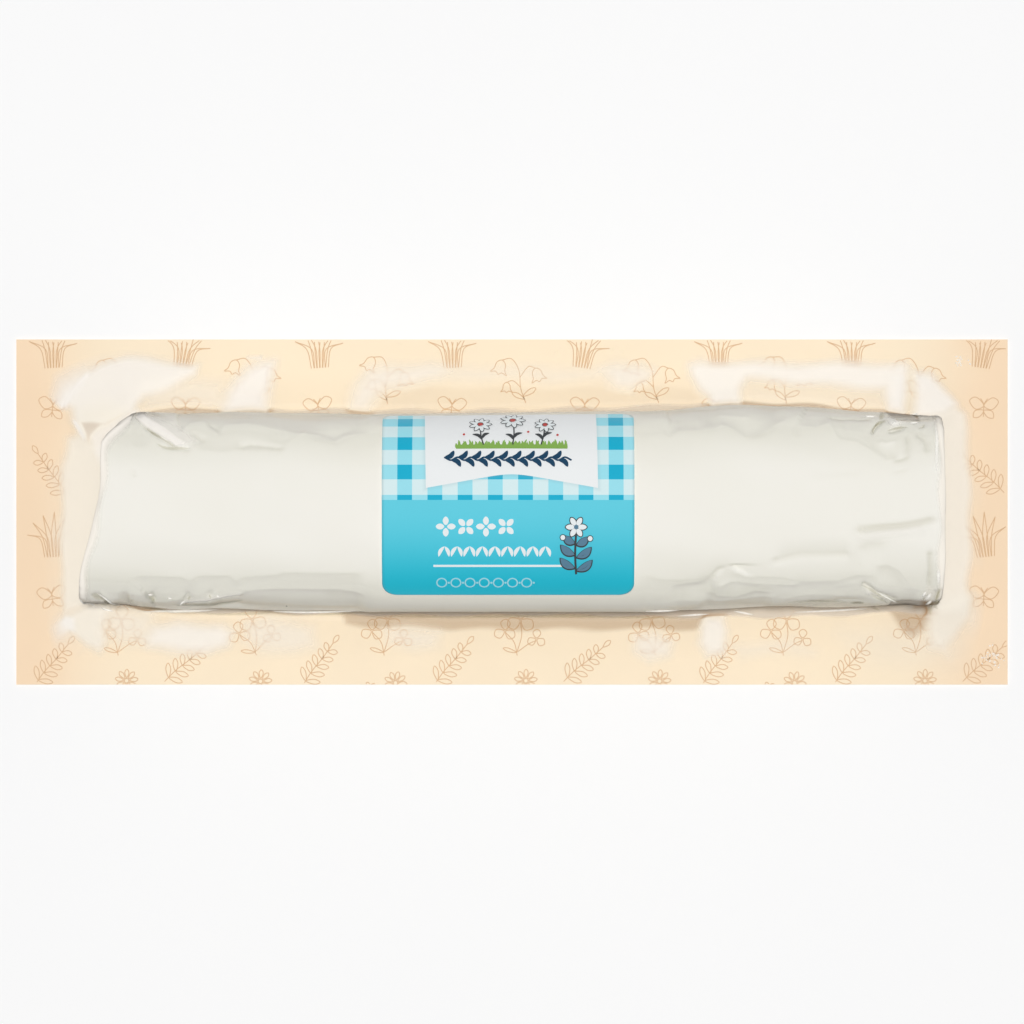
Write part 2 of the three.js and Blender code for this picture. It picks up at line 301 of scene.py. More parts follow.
def clover():
    lines = [stem((0.2, -5), (-0.6, -2.4), (-2.4, -0.6)), stem((0.1, -4.4), (0.8, -1), (0.4, 1.6)),
             stem((0.3, -4.2), (2.2, -2.6), (3.6, -1.8))]
    for centre, size in (((-2.6, -0.2), 2.3), ((0.4, 2.2), 2.9), ((3.8, -1.4), 1.9)):
        for k in range(3):
            lines.append(petal(centre, math.pi / 2 + k * math.tau / 3, 0.15, size, size * 0.42))
    return [*lines, leaf((0, -4.4), 2.9, 2.8, 0.35)]


def grass():
    lines = []
    for k, (x, y) in enumerate([(-5, 0.4), (-3.8, 2.8), (-1.7, 4.2), (0.6, 4.8), (2.7, 3.6), (4.6, 1.4)]):
        foot = (k - 2.5) * 0.55
        for side, reach in ((-0.3, -0.45), (0.35, 0.5)):
            lines.append(stem((foot + side, -4.2), (x * 0.4 + reach, y * 0.15 - 0.6), (x, y)))
    return lines


def sprig():
    lines = [stem((-3.6, -4.4), (-1.6, -1.8), (0.8, 0.6), (3.4, 3.6))]
    for k in range(5):
        at = (-2.9 + 1.25 * k, -3.5 + 1.35 * k)
        lines += [leaf(at, 1.75, 2.9 - 0.25 * k, 0.5), leaf(at, -0.2, 2.9 - 0.25 * k, 0.5)]
    return [*lines, leaf((3.3, 3.5), 0.85, 1.9, 0.45)]


def bellflowers():
    lines = [stem((1.2, -5), (0.4, -2), (0.3, 1.6), (-1, 4), (-2.9, 3.9)),
             stem((0.4, 0.2), (2.2, 2.2), (3.6, 1.8))]
    half = [(-0.9, -0.7), (-1.1, -2), (-1.7, -2.8), (-0.6, -2.5)]
    bell = [(0, 0), *half, (0, -3), *[(-x, y) for x, y in half[::-1]]]
    for angle, at, size in ((-0.35, (-2.9, 3.9), 1), (0.25, (3.6, 1.8), 0.95), (-0.1, (-2.3, -0.6), 0.7)):
        lines.append((smooth_line(turned(bell, angle, size) + at, closed=True, steps=3), True))
    lines.append(stem((0.4, -1.8), (-1, -0.4), (-2.3, -0.6)))
    return [*lines, leaf((0.8, -3.6), 0.5, 3, 0.5), leaf((1, -4.2), 2.6, 2.8, 0.45)]


def butterfly():
    lines = [stem((0, -1.4), (0, 1.2)), stem((0, 1.2), (-0.7, 2.3)), stem((0, 1.2), (0.7, 2.3))]
    for side in (-1, 1):
        upper = [(0, 0.9), (side * 1.6, 2.5), (side * 2.9, 1.7), (side * 1.6, 0.1)]
        lower = [(0, -0.1), (side * 1.7, -0.2), (side * 2, -1.5), (side * 0.8, -1.4)]
        lines += [(smooth_line(wing, closed=True), True) for wing in (upper, lower)]
    return lines


def kept_runs(line, inside, closed):
    """The stretches of a line that are inside, each as a strip."""
    if closed:
        start = int(np.argmin(inside))
        line, inside = np.roll(line, -start, 0), np.roll(inside, -start)
    cuts = np.flatnonzero(np.diff(inside.astype(int))) + 1
    runs = np.split(np.arange(len(line)), cuts)
    return [strip(line[run], LINE_WIDTH) for run in runs if inside[run[0]] and len(run) > 1]


def draw_sheet_print():
    """All the motifs, laid out over the sheet and cut off at its edges as a running print is."""
    motifs = [daisies(), grass(), clover(), sprig(), bellflowers(), butterfly()]
    pieces = []
    columns = int(SHEET_HALF_LENGTH / COLUMN_PITCH) + 1
    rows = int(SHEET_HALF_WIDTH / ROW_PITCH) + 1
    for column in range(-columns, columns + 1):
        for row in range(-rows, rows + 1):
            middle = (column * COLUMN_PITCH + 1.2, (row + 0.5 * (column % 2)) * ROW_PITCH + 1.5)
            flip = (-1 if (column + row) % 2 else 1, 1)
            lean = 0.14 * math.sin(column * 2.1 + row * 1.3)
            for line, closed in motifs[(3 * column + 2 * row) % len(motifs)]:
                placed = turned(line * flip, lean) + middle
                inside = (np.abs(placed) < (SHEET_HALF_LENGTH, SHEET_HALF_WIDTH)).all(1)
                if inside.all():
                    pieces.append(strip(placed, LINE_WIDTH, closed))
                elif inside.any():
                    pieces += kept_runs(placed, inside, closed)
    return pieces


def ink_material(name, colour, roughness=0.4, strength=0.12):
    """Printed ink: one colour, lying a little unevenly."""
    material, tree, surface = new_material(name)
    ink = place_group(tree, print_unevenness, Color=(*colour, 1), Cloud_Size=0.004, Strength=strength)
    rough = maths(tree, "ADD", ink["Roughness Change"], roughness)
    feed(tree, surface, principled(tree, {"Base Color": ink["Color"], "Roughness": rough}))
    return material


sheet_lines = draw_sheet_print()
print_points, print_faces = gather(sheet_lines)
# Each line lies a hair higher or lower than its neighbours, so that no two cross at one height.
line_levels = np.arange(len(sheet_lines)) % LINE_LEVELS * LINE_STEP
line_levels = np.repeat(line_levels, [len(points) for points, _ in sheet_lines])
print_points = np.column_stack([print_points, SHEET_TOP + INK_LIFT + line_levels])
sheet_print = make_mesh("sheet_print", print_points, print_faces, [ink_material("line ink", LINE_INK)])
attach(sheet_print, "root")


# Cheese. The real log is a soft, moist roll of fresh cheese, pressed flat where it lies and a little
# square at its shoulders by the film that is drawn tight over it. Its left end leans, and the film's
# folds are printed into its skin, with a little whey and painted shade in the sharpest ones, and
# painted shade along its front flank.
log_low, log_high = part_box("cheese_log")
LOG_LEFT = log_low.x / MM
LOG_RIGHT = log_high.x / MM
LOG_FOOT = log_low.z / MM - 0.1
LOG_WAIST = 17.0
LOG_TOP = 36.4
LOG_SAG = 18.4
UPPER_ROUNDNESS = 2.8
LOWER_ROUNDNESS = 3.0
LOG_END_ROUND = 1.0
BACK_EDGE = [(-85, 19.4), (-61, 19.9), (-26, 19.5), (25, 20), (46, 21.3), (57, 20.9), (85, 18.9)]
FRONT_EDGE = [(-85, 18.0), (-61, 19.4), (-26, 19.8), (25, 19.8), (57, 18.8), (85, 18.5)]
LEFT_LEAN = 4.9
LEFT_CORNER_FROM = 13.5
LEFT_CORNER_CUT = 5.4
SPINE_END = 62.0
CHEESE_UNDER_FILM = 0.15
CHEESE_SPACING = 0.46
END_SPACING = 0.62
LABEL_SPACING = 1.6
CHEESE_LEVELS_BELOW = 8
CHEESE_LEVELS_ABOVE = 92
TURN_SAMPLES = 361
BEND_WEIGHT = 8
HALVINGS = 26
LONGEST_RAY = 60.0
WELD_DISTANCE = 0.002
LABEL_CENTRE = -0.75
LABEL_HALF_WIDTH = 24.5
LABEL_CLEAR = 3.0
# Folds of the film over the log. A row holds the height of the ridge along it (a groove is negative), its
# width, the drop of the skin beyond it (to the line's left, or to its right if negative), how much whey
# and painted shade darken it (or, if negative, how milky the doubled film is there, a painted highlight),
# and the line it follows in plan.
FOLDS = [
    # Back corner of the left end: a flattened roll of film, which the doubled film's table paints bright as
    # a highlight, and a sharp groove under it, painted darker as shade.
    (0.45, 1, 0, 0, [(-73.4, 19.6), (-70, 17.4), (-66.4, 15), (-62.6, 12.9)]),
    (-0.45, 0.4, 0, 0.08, [(-72.6, 17.3), (-70.4, 16), (-67.4, 14.2), (-65.4, 12.7)]),
    (-0.3, 0.35, 0, 0, [(-68.7, 13.2), (-65.6, 12.6), (-62, 12.3)]),
    (0, 1.8, 0.5, 0, [(-75.6, 18.4), (-75, 14.7), (-73.6, 12.9), (-70, 12.7)]),
    (-0.5, 0.5, 0, 0.08, [(-62.7, 16), (-61.2, 15), (-59.4, 13.9)]),
    (-0.5, 0.5, 0, 0.06, [(-59.7, 17.9), (-58, 16.9), (-56.3, 15.4)]),
    (-0.45, 0.6, 0, 0.06, [(-53.6, 12.7), (-51.2, 13.5), (-48.6, 13.2), (-43.8, 12.4)]),
    (-0.25, 0.35, 0, 0.05, [(-73.7, 9), (-73.4, 6.7)]),
    # The crisp ledge along the left half's back shoulder, and the softer one above it.
    (0, 1.6, 0.6, 0, [(-62.5, 12.5), (-56.3, 11.8), (-53.5, 12.3), (-48.5, 12.3), (-43.4, 12.3)]),
    (0, 1.5, 0.75, 0, [(-43.4, 12.5), (-42.9, 14.3), (-40.6, 15.5), (-38.4, 13.9), (-35.7, 13.7),
     (-34.3, 12.1)]),
    (-0.07, 0.5, 0, 0, [(-34.1, 12.1), (-33.9, 6.3)]),
    (0, 1.6, 0.95, 0, [(-66.6, 16.1), (-64.3, 15.8), (-63, 17.4), (-60.3, 18), (-57, 16), (-55.9, 17.5),
     (-51.8, 17.6), (-45, 16.4), (-42, 15.6), (-38, 15.4), (-34.6, 14.2), (-32.9, 15.2), (-27.2, 15.6)]),
    # Back shoulder of the right half: facets that rise and fall in a wavy edge.
    (0, 1.7, 1.1, 0, [(28, 16.1), (29.1, 15.7), (30.7, 14.5), (32.4, 15.9), (36.7, 16.1), (38.5, 15.3)]),
    (0, 1.7, 1.2, 0, [(38.5, 15.3), (40.7, 17.3), (43, 16.3), (45.3, 14.7), (48.8, 15.3), (52, 17.7),
     (54.5, 18.9)]),
    (-0.2, 0.4, 0, 0.05, [(45.3, 14.6), (48.8, 15.1), (52, 17.5)]),
    (0, 1.6, 0.85, 0, [(54.5, 18.6), (55.5, 17.3), (59.2, 16.7), (61.8, 17.7), (62.7, 16.1), (63.5, 14.5),
     (67.4, 13.9), (70.1, 12.1), (72.7, 10.2), (77, 10.8)]),
    (-0.25, 0.5, 0, 0, [(55.4, 18.1), (55.4, 14.7)]),
    (-0.3, 0.5, 0, 0, [(32.9, 19.5), (32.5, 16.5)]),
    (0.35, 0.8, 0, 0, [(39.4, 19.6), (43.9, 19.2), (47.1, 18.8)]),
    (0, 1.5, 0.4, 0, [(63.6, 16.1), (66, 16.5), (69.9, 15.9)]),
    # Crumple near the right end's back corner: two deep strokes about a raised fold, and lesser ones.
    (-0.7, 0.4, 0, 0.15, [(70.3, 15.3), (70.6, 16.3), (71.7, 17.5), (72.9, 17.9)]),
    (-0.7, 0.4, 0, 0.15, [(73.3, 15.9), (75.1, 16.3), (77, 16.5)]),
    (0.6, 0.7, 0, -0.35, [(73, 16.9), (75.9, 17.7), (79.1, 18.1)]),
    (0.5, 0.8, 0, 0, [(70.6, 14.2), (73, 13.7), (75.6, 14.2)]),
    (-0.5, 0.5, 0, 0.1, [(77, 15.7), (77.3, 13.3), (76.9, 10.8), (74, 10)]),
    (-0.55, 0.5, 0, 0.12, [(78.4, 15.7), (79.9, 14.7), (80.9, 13.6), (80.8, 11.4)]),
    (0.3, 0.5, 0, 0, [(82.8, 16.5), (82.4, 7.9)]),
    (-0.4, 0.4, 0, 0.1, [(61.6, 19), (66.3, 19), (71, 18.8)]),
    (-0.5, 0.4, 0, 0.1, [(75, 18.4), (78.9, 18.4), (83.1, 18.5)]),
    # Long wrinkle and creases on the right half's top.
    (-0.6, 0.55, 0, 0.26, [(66.6, -3.6), (71.5, -3), (76.3, -2.6), (79.6, -2), (82.7, -1.3)]),
    (0.25, 0.8, 0, -0.2, [(66.6, -5), (71.5, -4.4), (76.3, -3.8), (81, -3.2)]),
    (-0.5, 0.6, 0.35, 0.15, [(51.4, -9.8), (53.3, -9), (56, -8.4), (66, -8.4)]),
    (-0.5, 0.45, 0, 0.1, [(50.9, -8.8), (51.8, -10.6)]),
    (0, 1.3, -0.5, 0.04, [(66.3, -7.1), (69.2, -5.9), (73.4, -5.5)]),
    (-0.1, 0.6, 0, 0.03, [(58.3, 7.1), (63.4, 7.5), (68, 7.7)]),
    (-0.16, 0.5, 0, 0.03, [(73.6, 7.7), (77.3, 8.6)]),
    # Front shoulder of the left half: a crisp edge, then a second one lower down.
    (0, 2, -1.1, 0, [(-75, -14.6), (-74, -13.1), (-72.3, -12.6), (-64.2, -12.8), (-62.6, -13.6),
     (-61, -12.6), (-55, -12.5), (-53.6, -13.8), (-52, -12.8), (-46, -12.5), (-44.3, -11.9),
     (-28, -11.9)]),
    (0, 1.6, -1.2, 0, [(-60, -17.3), (-52, -16), (-45.9, -15.7), (-34.3, -15.7), (-27.6, -16.7)]),
    (-0.5, 0.5, 0, 0.1, [(-65.2, -18.3), (-61.4, -18.3), (-56.9, -18), (-52.8, -17.3)]),
    (-0.5, 1.3, 0, 0.26, [(-77.2, -16.8), (-76, -17.3), (-74.9, -17.6)]),
    (-0.6, 0.6, 0, 0.12, [(-71.2, -16.3), (-70.6, -17), (-70.2, -18)]),
    (-0.5, 0.5, 0, 0.1, [(-64.6, -18), (-63.4, -17), (-62.8, -16.1)]),
    (-0.5, 0.6, 0, 0.1, [(-59.2, -16), (-58.6, -17)]),
    (0.5, 0.5, 0, -0.3, [(-65.4, -18.5), (-60.9, -17.7), (-52, -16.3)]),
    (0.35, 0.45, 0, 0, [(-70.8, -18), (-67.9, -18), (-65.2, -17.5), (-63.5, -16.7)]),
    (0, 1.5, -0.8, 0, [(-78, -16.9), (-76.3, -15.7), (-73.7, -16.3), (-72.5, -17.8)]),
    # The drawn-in front corner of the left end.
    (-0.5, 0.6, 0, 0.06, [(-81.9, -16), (-80.3, -16.9), (-78.5, -18.1)]),
    (0.6, 0.35, 0, 0, [(-80.8, -15.6), (-79.8, -16.3), (-77.8, -17.9)]),
    (-0.4, 0.4, 0, 0, [(-72.9, -18.4), (-69.1, -19), (-61.2, -19.4), (-52.4, -19.6)]),
    # Front shoulder of the right half.
    (0, 1.8, -0.7, 0, [(25, -12), (28.6, -13.1), (32.6, -13.4), (36, -13.3), (38, -11.6)]),
    (0, 1.3, -0.9, 0.06, [(29.9, -14.7), (36.7, -13.9), (38.6, -12.1), (40, -10.6), (41.8, -10.5),
     (40.6, -13)]),
    (0, 1.8, -1.05, 0, [(42.1, -11.2), (45.4, -12.7), (52.2, -12.7), (56.1, -13.5), (63.5, -13.5),
     (67.4, -12.5), (71.7, -12.7)]),
    (0.45, 0.8, 0, 0, [(39.1, -15.1), (42.5, -13.7), (48.4, -14.3), (56.2, -14.3)]),
    (0, 1.4, -1.1, 0.15, [(36.8, -16.1), (39.9, -16.7), (43.6, -17.1), (47.5, -15.9), (51.6, -16.3)]),
    (0, 1.4, -0.9, 0, [(70, -10.8), (73.1, -10.4), (75.3, -11.4), (77, -13.7), (78.4, -14.9),
     (80.8, -15.5)]),
    (-0.8, 0.45, 0, 0.15, [(68.1, -14.2), (69.7, -15), (71.6, -16.1), (76, -17.7)]),
    (0.4, 0.4, 0, -0.3, [(68.6, -15.9), (71.4, -16.5), (73.4, -17.6)]),
    (-0.6, 0.35, 0, 0.12, [(69.7, -15.9), (72, -17.1), (73.6, -17.9)]),
    (-0.4, 0.4, 0, 0.1, [(62.8, -18), (67.8, -17.8), (69.3, -17.8)]),
    (-0.7, 0.45, 0, 0.2, [(81.2, -7.4), (81.6, -11.6), (81.4, -15.2)]),
    (0.3, 0.5, 0, 0, [(82.9, -8.5), (83, -14)]),
    # The drawn-in front corner of the right end: a dark star of small folds.
    (-0.4, 0.5, 0, 0.06, [(83.2, -14.9), (83.2, -17.8)]),
    (-0.4, 0.6, 0, 0.06, [(81.2, -18.4), (83.2, -17.8), (85.2, -17.3)]),
    (0.5, 0.5, 0, 0, [(79.3, -17.4), (80, -15.9), (81.6, -15.9)]),
    # Bands of painted shade along the front flank, in the whey value, and shallow creases low on it.
    (0, 1.7, 0, 0.13, [(-38, -17.5), (-20, -17.8), (20, -17.8), (36, -17.5)]),
    (0, 1.5, 0, 0.24, [(-79, -18.2), (-61, -18.9), (-28, -19.3), (28, -19.3), (57, -18.3), (80, -17.4)]),
    (0.25, 0.6, 0, 0, [(29, -17.8), (40, -17.9), (52, -17)]),
    (0.2, 0.6, 0, 0, [(52, -17.6), (58, -16.6), (66, -16.9)]),
]
WOBBLE = 0.14
CRUMPLE = 0.34


def eased(value, low, high):
    """0 below low and 1 above high, with a smooth rise between them."""
    share = np.clip((value - low) / (high - low), 0, 1)
    return share * share * (3 - 2 * share)


def along(points, x):
    """The value at x of a smooth line through a few points."""
    xs, values = np.array(points, float).T
    i = np.clip(np.searchsorted(xs, x) - 1, 0, len(xs) - 2)
    return values[i] + (values[i + 1] - values[i]) * eased(x, xs[i], xs[i + 1])


def section_reach(x, side, rise):
    """How far the smooth section at x reaches from its middle in a direction."""
    half_width = np.where(side >= 0, along(BACK_EDGE, x), along(FRONT_EDGE, x))
    half_height = np.where(rise >= 0, LOG_TOP - LOG_WAIST, LOG_SAG)
    power = np.where(rise >= 0, UPPER_ROUNDNESS, LOWER_ROUNDNESS)
    return (np.abs(side / half_width) ** power + np.abs(rise / half_height) ** power) ** (-1 / power)


def left_end_cut(y):
    """How far the left end face stands back from its foremost point, at y."""
    corner = np.clip((y - LEFT_CORNER_FROM) / 6, 0, 1.2)
    return LEFT_LEAN * eased(y, -19, 7) + LEFT_CORNER_CUT * corner**1.4


def beyond_log(x, y, z):
    """Under 0 inside the smooth log, over 0 outside it."""
    up = z - LOG_WAIST
    reach = np.maximum(np.hypot(y, up), 1e-6)
    depth = np.minimum(x - LOG_LEFT - left_end_cut(y), LOG_RIGHT - x)
    short = np.clip(LOG_END_ROUND - depth, 0, LOG_END_ROUND)
    inset = LOG_END_ROUND - np.sqrt(LOG_END_ROUND**2 - short**2)
    return np.maximum(reach + inset - section_reach(x, y / reach, up / reach), -depth)


def halved(outside, reach):
    """The distance, between 0 and reach, from which on a test is true, found by halving."""
    near, far = 0 * reach, reach
    for _ in range(HALVINGS):
        middle = (near + far) / 2
        out = outside(middle)
        near, far = np.where(out, near, middle), np.where(out, middle, far)
    return near


def cast(start_x, plan, elevation):
    """Distances from the log's spine to its smooth skin, by direction in plan and elevation."""
    level, rise = np.cos(elevation), np.sin(elevation)

    def outside(reach):
        x = start_x + reach * level * plan[0]
        return beyond_log(x, reach * level * plan[1], LOG_WAIST + reach * rise) > 0

    return halved(outside, np.full(np.broadcast(start_x, level).shape, LONGEST_RAY))


def even_turns(start, plan, low, levels):
    """Elevations for each ray, from a low one up to the crown, closer together where the skin bends."""
    turn = low + (math.pi / 2 - low) * np.linspace(0, 1, TURN_SAMPLES)[:, None]
    turn = turn + np.zeros(len(start))
    reach = cast(start, plan.T, turn)
    outward, upward = np.diff(reach * np.cos(turn), axis=0), np.diff(reach * np.sin(turn), axis=0)
    heading = np.unwrap(np.arctan2(upward, outward), axis=0)
    bend = np.abs(np.diff(heading, axis=0, prepend=heading[:1]))
    shoulder = eased(turn[1:], -0.1, 0.15) * (1 - eased(turn[1:], 1.0, 1.3))
    walked = np.cumsum(np.hypot(outward, upward) * (1 + shoulder) + BEND_WEIGHT * bend, 0)
    walked = np.vstack([np.zeros(len(start)), walked])
    share = np.linspace(0, 1, levels)
    return np.column_stack([np.interp(share * way[-1], way, own) for way, own in zip(walked.T, turn.T)])


def rim_walk(spacing, end_spacing):
    """Points once round the sheet's edge, its four corners among them, sparser beside the label."""
    length, width = SHEET_HALF_LENGTH, SHEET_HALF_WIDTH
    left, right = LABEL_CENTRE - LABEL_HALF_WIDTH + 1, LABEL_CENTRE + LABEL_HALF_WIDTH - 1
    stretches = ((-length, left, spacing), (left, right, LABEL_SPACING), (right, length, spacing))
    xs = np.concatenate([np.linspace(a, b, round((b - a) / gap) + 1)[:-1] for a, b, gap in stretches])
    ys = np.linspace(-width, width, 2 * round(width / end_spacing) + 1)
    back = np.append(xs[1:], length)[::-1]
    sides = [(xs, -width), (length, ys[:-1]), (back, width), (-length, ys[:0:-1])]
    return np.vstack([np.column_stack(np.broadcast_arrays(x, y)) for x, y in sides])


def rays_from_spine(rim):
    """For each point of the walk, the spine's nearest point and the level direction from it to the rim."""
    start = np.clip(rim[:, 0], -SPINE_END, SPINE_END)
    run = rim - np.column_stack([start, np.zeros(len(rim))])
    reach = np.linalg.norm(run, axis=1)
    return start, run / reach[:, None], reach


def nearest_on_line(points, x, y):
    """Places' distances to a line, sides of it (1 left, -1 right) and ways along it, and its length."""
    best = np.full(x.shape, 1e9)
    side = np.ones_like(x)
    travelled = np.zeros_like(x)
    done = 0.0
    for (x0, y0), (x1, y1) in zip(points, points[1:]):
        length = math.hypot(x1 - x0, y1 - y0)
        run_x, run_y = (x1 - x0) / length, (y1 - y0) / length
        ahead = np.clip((x - x0) * run_x + (y - y0) * run_y, 0, length)
        away = np.hypot(x - x0 - run_x * ahead, y - y0 - run_y * ahead)
        nearer = away < best
        best = np.where(nearer, away, best)
        side = np.where(nearer, np.sign(run_x * (y - y0) - run_y * (x - x0)), side)
        travelled = np.where(nearer, done + ahead, travelled)
        done += length
    return best, side, travelled, done


def close_to(points, margin, x, y):
    """Which places lie in the box round some points, widened by a margin."""
    low, high = np.min(points, 0) - margin, np.max(points, 0) + margin
    return (x > low[0]) & (x < high[0]) & (y > low[1]) & (y < high[1])


def fold_relief(x, y):
    """Height of all the folds at places in plan, the whey and painted shade in them, and the milky painted
    highlight of their film.
    """
    relief, whey_and_shade, milk_and_painted_light = np.zeros_like(x), np.zeros_like(x), np.zeros_like(x)
    for height, width, drop, wet, points in FOLDS:
        near = close_to(points, 12 * width, x, y)
        away, side, travelled, length = nearest_on_line(points, x[near], y[near])
        fade = min(0.6 + 1.3 * width, length / 3)
        taper = eased(travelled, 0, fade) * eased(length - travelled, 0, fade)
        below = away * (side == np.sign(drop))
        ledge = -abs(drop) * (1 - np.exp(-below / width)) * np.exp(-((below / (3 * width)) ** 2))
        relief[near] += taper * (height * np.exp(-away / width) + ledge)
        mark = abs(wet) * np.exp(-((away / (1.1 * width)) ** 2)) * (0.3 + 0.7 * taper)
        tinted = whey_and_shade if wet > 0 else milk_and_painted_light
        tinted[near] = np.maximum(tinted[near], mark)
    return relief, whey_and_shade, milk_and_painted_light


def crumple(x, y, z, size):
    """Crumpling from layered noise, about 0 and the same at every run."""
    places = np.column_stack([x.ravel() * 0.6, y.ravel(), z.ravel()]) / size
    heights = [noise.ridged_multi_fractal(Vector(place), 1.0, 2.1, 3, 1.0, 2.0) for place in places]
    return np.array(heights).reshape(x.shape) - 1.1


def log_relief(x, y, z):
    """Height of the film's folds and unevenness over the smooth log, their whey and painted shade, and their
    milky painted highlights.
    """
    upper = eased(z, LOG_WAIST - 2, LOG_WAIST + 3)
    folds, whey_and_shade, milk_and_painted_light = fold_relief(x, y)
    beyond_label = eased(np.abs(x - LABEL_CENTRE) - LABEL_HALF_WIDTH, 0, LABEL_CLEAR)
    edge = np.where(y > 0, along(BACK_EDGE, x), along(FRONT_EDGE, x))
    shoulder = eased(np.abs(y) / edge, 0.5, 0.85)
    near_end = eased(np.abs(x), 45, 80)
    height = WOBBLE * np.sin(x * 0.21 + y * 0.3) * np.cos(y * 0.24 - x * 0.07 + z * 0.2)
    height = height + CRUMPLE * crumple(x, y, z, 12.0) * (0.1 + 0.45 * shoulder + 0.3 * near_end * shoulder)
    height = height + 0.3 * CRUMPLE * crumple(x, y, z, 4.5) * shoulder * (0.25 + 0.75 * near_end)
    height = (height + folds * upper) * beyond_label * eased(z, LOG_FOOT, LOG_FOOT + 3)
    return height, whey_and_shade * upper, milk_and_painted_light * upper


def ring_faces(count, levels):
    """Quads over rings of places: ring r holds points r * count to (r + 1) * count - 1."""
    grid = np.arange(count * levels).reshape(levels, count)
    return quads(np.hstack([grid, grid[:, :1]]).T)


def weld(made):
    """Joins points that lie on each other, such as those of the two sides along the crown."""
    work = bmesh.new()
    work.from_mesh(made.data)
    bmesh.ops.remove_doubles(work, verts=work.verts, dist=WELD_DISTANCE * MM)
    work.to_mesh(made.data)
    work.free()


def log_surface(rim, elevations, lift):
    """Points of the log's skin, a ring of places for each elevation, and the whey with painted shade and the
    milky painted highlights there.
    """
    start, plan, _ = rays_from_spine(rim)
    level, rise = np.cos(elevations), np.sin(elevations)
    reach = cast(start, plan.T, elevations)
    x, y = start + reach * level * plan[:, 0], reach * level * plan[:, 1]
    relief, whey_and_shade, milk_and_painted_light = log_relief(x, y, LOG_WAIST + reach * rise)
    reach = reach + relief + lift
    x, y = start + reach * level * plan[:, 0], reach * level * plan[:, 1]
    return np.stack([x, y, LOG_WAIST + reach * rise], -1), whey_and_shade, milk_and_painted_light


def store_value(made, name, values):
    """A number for each point of a mesh, for its material to read."""
    made.data.attributes.new(name, "FLOAT", "POINT").data.foreach_set("value", values.ravel())


def stored(tree, name):
    """The number stored in a mesh's points."""
    return node(tree, "Attribute", attribute_name=name).outputs["Fac"]


def build_cheese():
    rim = rim_walk(CHEESE_SPACING, END_SPACING)
    start, plan, _ = rays_from_spine(rim)
    below = np.linspace(-math.pi / 2, -0.5, CHEESE_LEVELS_BELOW)[:-1, None] + np.zeros(len(rim))
    turn = np.concatenate([below, even_turns(start, plan, -0.5, CHEESE_LEVELS_ABOVE)])
    points, whey_and_shade, _ = log_surface(rim, turn, -CHEESE_UNDER_FILM)
    points[..., 2] = np.maximum(points[..., 2], LOG_FOOT)
    made = make_mesh("cheese", points.reshape(-1, 3), ring_faces(len(rim), len(turn)), [cheese_material()])
    store_value(made, "whey_and_shade", whey_and_shade)
    weld(made)
    return made


def cheese_material():
    """Moist fresh cheese: off-white with a fine curdy grain, painted shade on its flanks, and olive-grey
    whey and painted shade in the sharpest folds and along the front flank.
    """
    material, tree, surface = new_material("fresh cheese")
    at = place_on(tree)
    cloud = stepped(tree, cloudy(tree, at, 38, 4), 0.35, 0.7)
    colour = blend_colours(tree, cloud, (0.88, 0.86, 0.79), (0.895, 0.875, 0.815))
    # Painted shade: the flanks are coloured darker than the top, more so where they face further sideways.
    faced = node(tree, "SeparateXYZ", {0: node(tree, "TexCoord").outputs["Normal"]})
    aside = maths(tree, "ABSOLUTE", faced.outputs["Y"])
    colour = blend_colours(tree, stepped(tree, aside, 0, 0.8), colour, (0.855, 0.835, 0.74))
    colour = blend_colours(tree, stepped(tree, aside, 0.78, 0.99), colour, (0.83, 0.8, 0.72))
    # Whey and painted shade: folds and the front flank are coloured towards olive-grey.
    colour = blend_colours(tree, stored(tree, "whey_and_shade"), colour, (0.36, 0.33, 0.19))
    wet = stepped(tree, cloudy(tree, at, 60), 0.4, 0.65)
    feed(tree, surface, principled(tree, {
        "Base Color": colour,
        "Roughness": maths(tree, "MULTIPLY_ADD", wet, -0.12, 0.55),
        "Normal": bumpy(tree, cloudy(tree, at, 420, 3), 0.12, 0.0002),
        "Specular IOR Level": 0.3,
    }))
    return material


cheese = build_cheese()
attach(cheese, "root")
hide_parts("cheese_log")


# Clear film. The real one is a soft film about a tenth of a millimetre thick, formed into a pocket, laid
# over the log, drawn down by vacuum and heat-sealed to the base sheet outside the pocket. It is tight
# over the log, slopes down from its flanks, and lies loose and folded inside the pocket's outline,
# where air under it makes it look milky. Its colour also holds painted shade and shadow beside the log,
# and painted highlights on some folds, rims and edges.
FILM_LIFT = 0.07
POCKET_CENTRE = (0.9, 0.3)
POCKET_HALF_LENGTH = 91.6
POCKET_HALF_WIDTH = 31.3
POCKET_CORNER = 15.0
SIDE_WEB = 9.0
END_WEB = 6.0
CORNER_WEB = 8.0
FILM_SPACING = 0.62
FILM_LEVELS = 82
SLOPE_LEVELS = 34
FLANGE_LEVELS = 3
LONGEST_RUN = 90.0
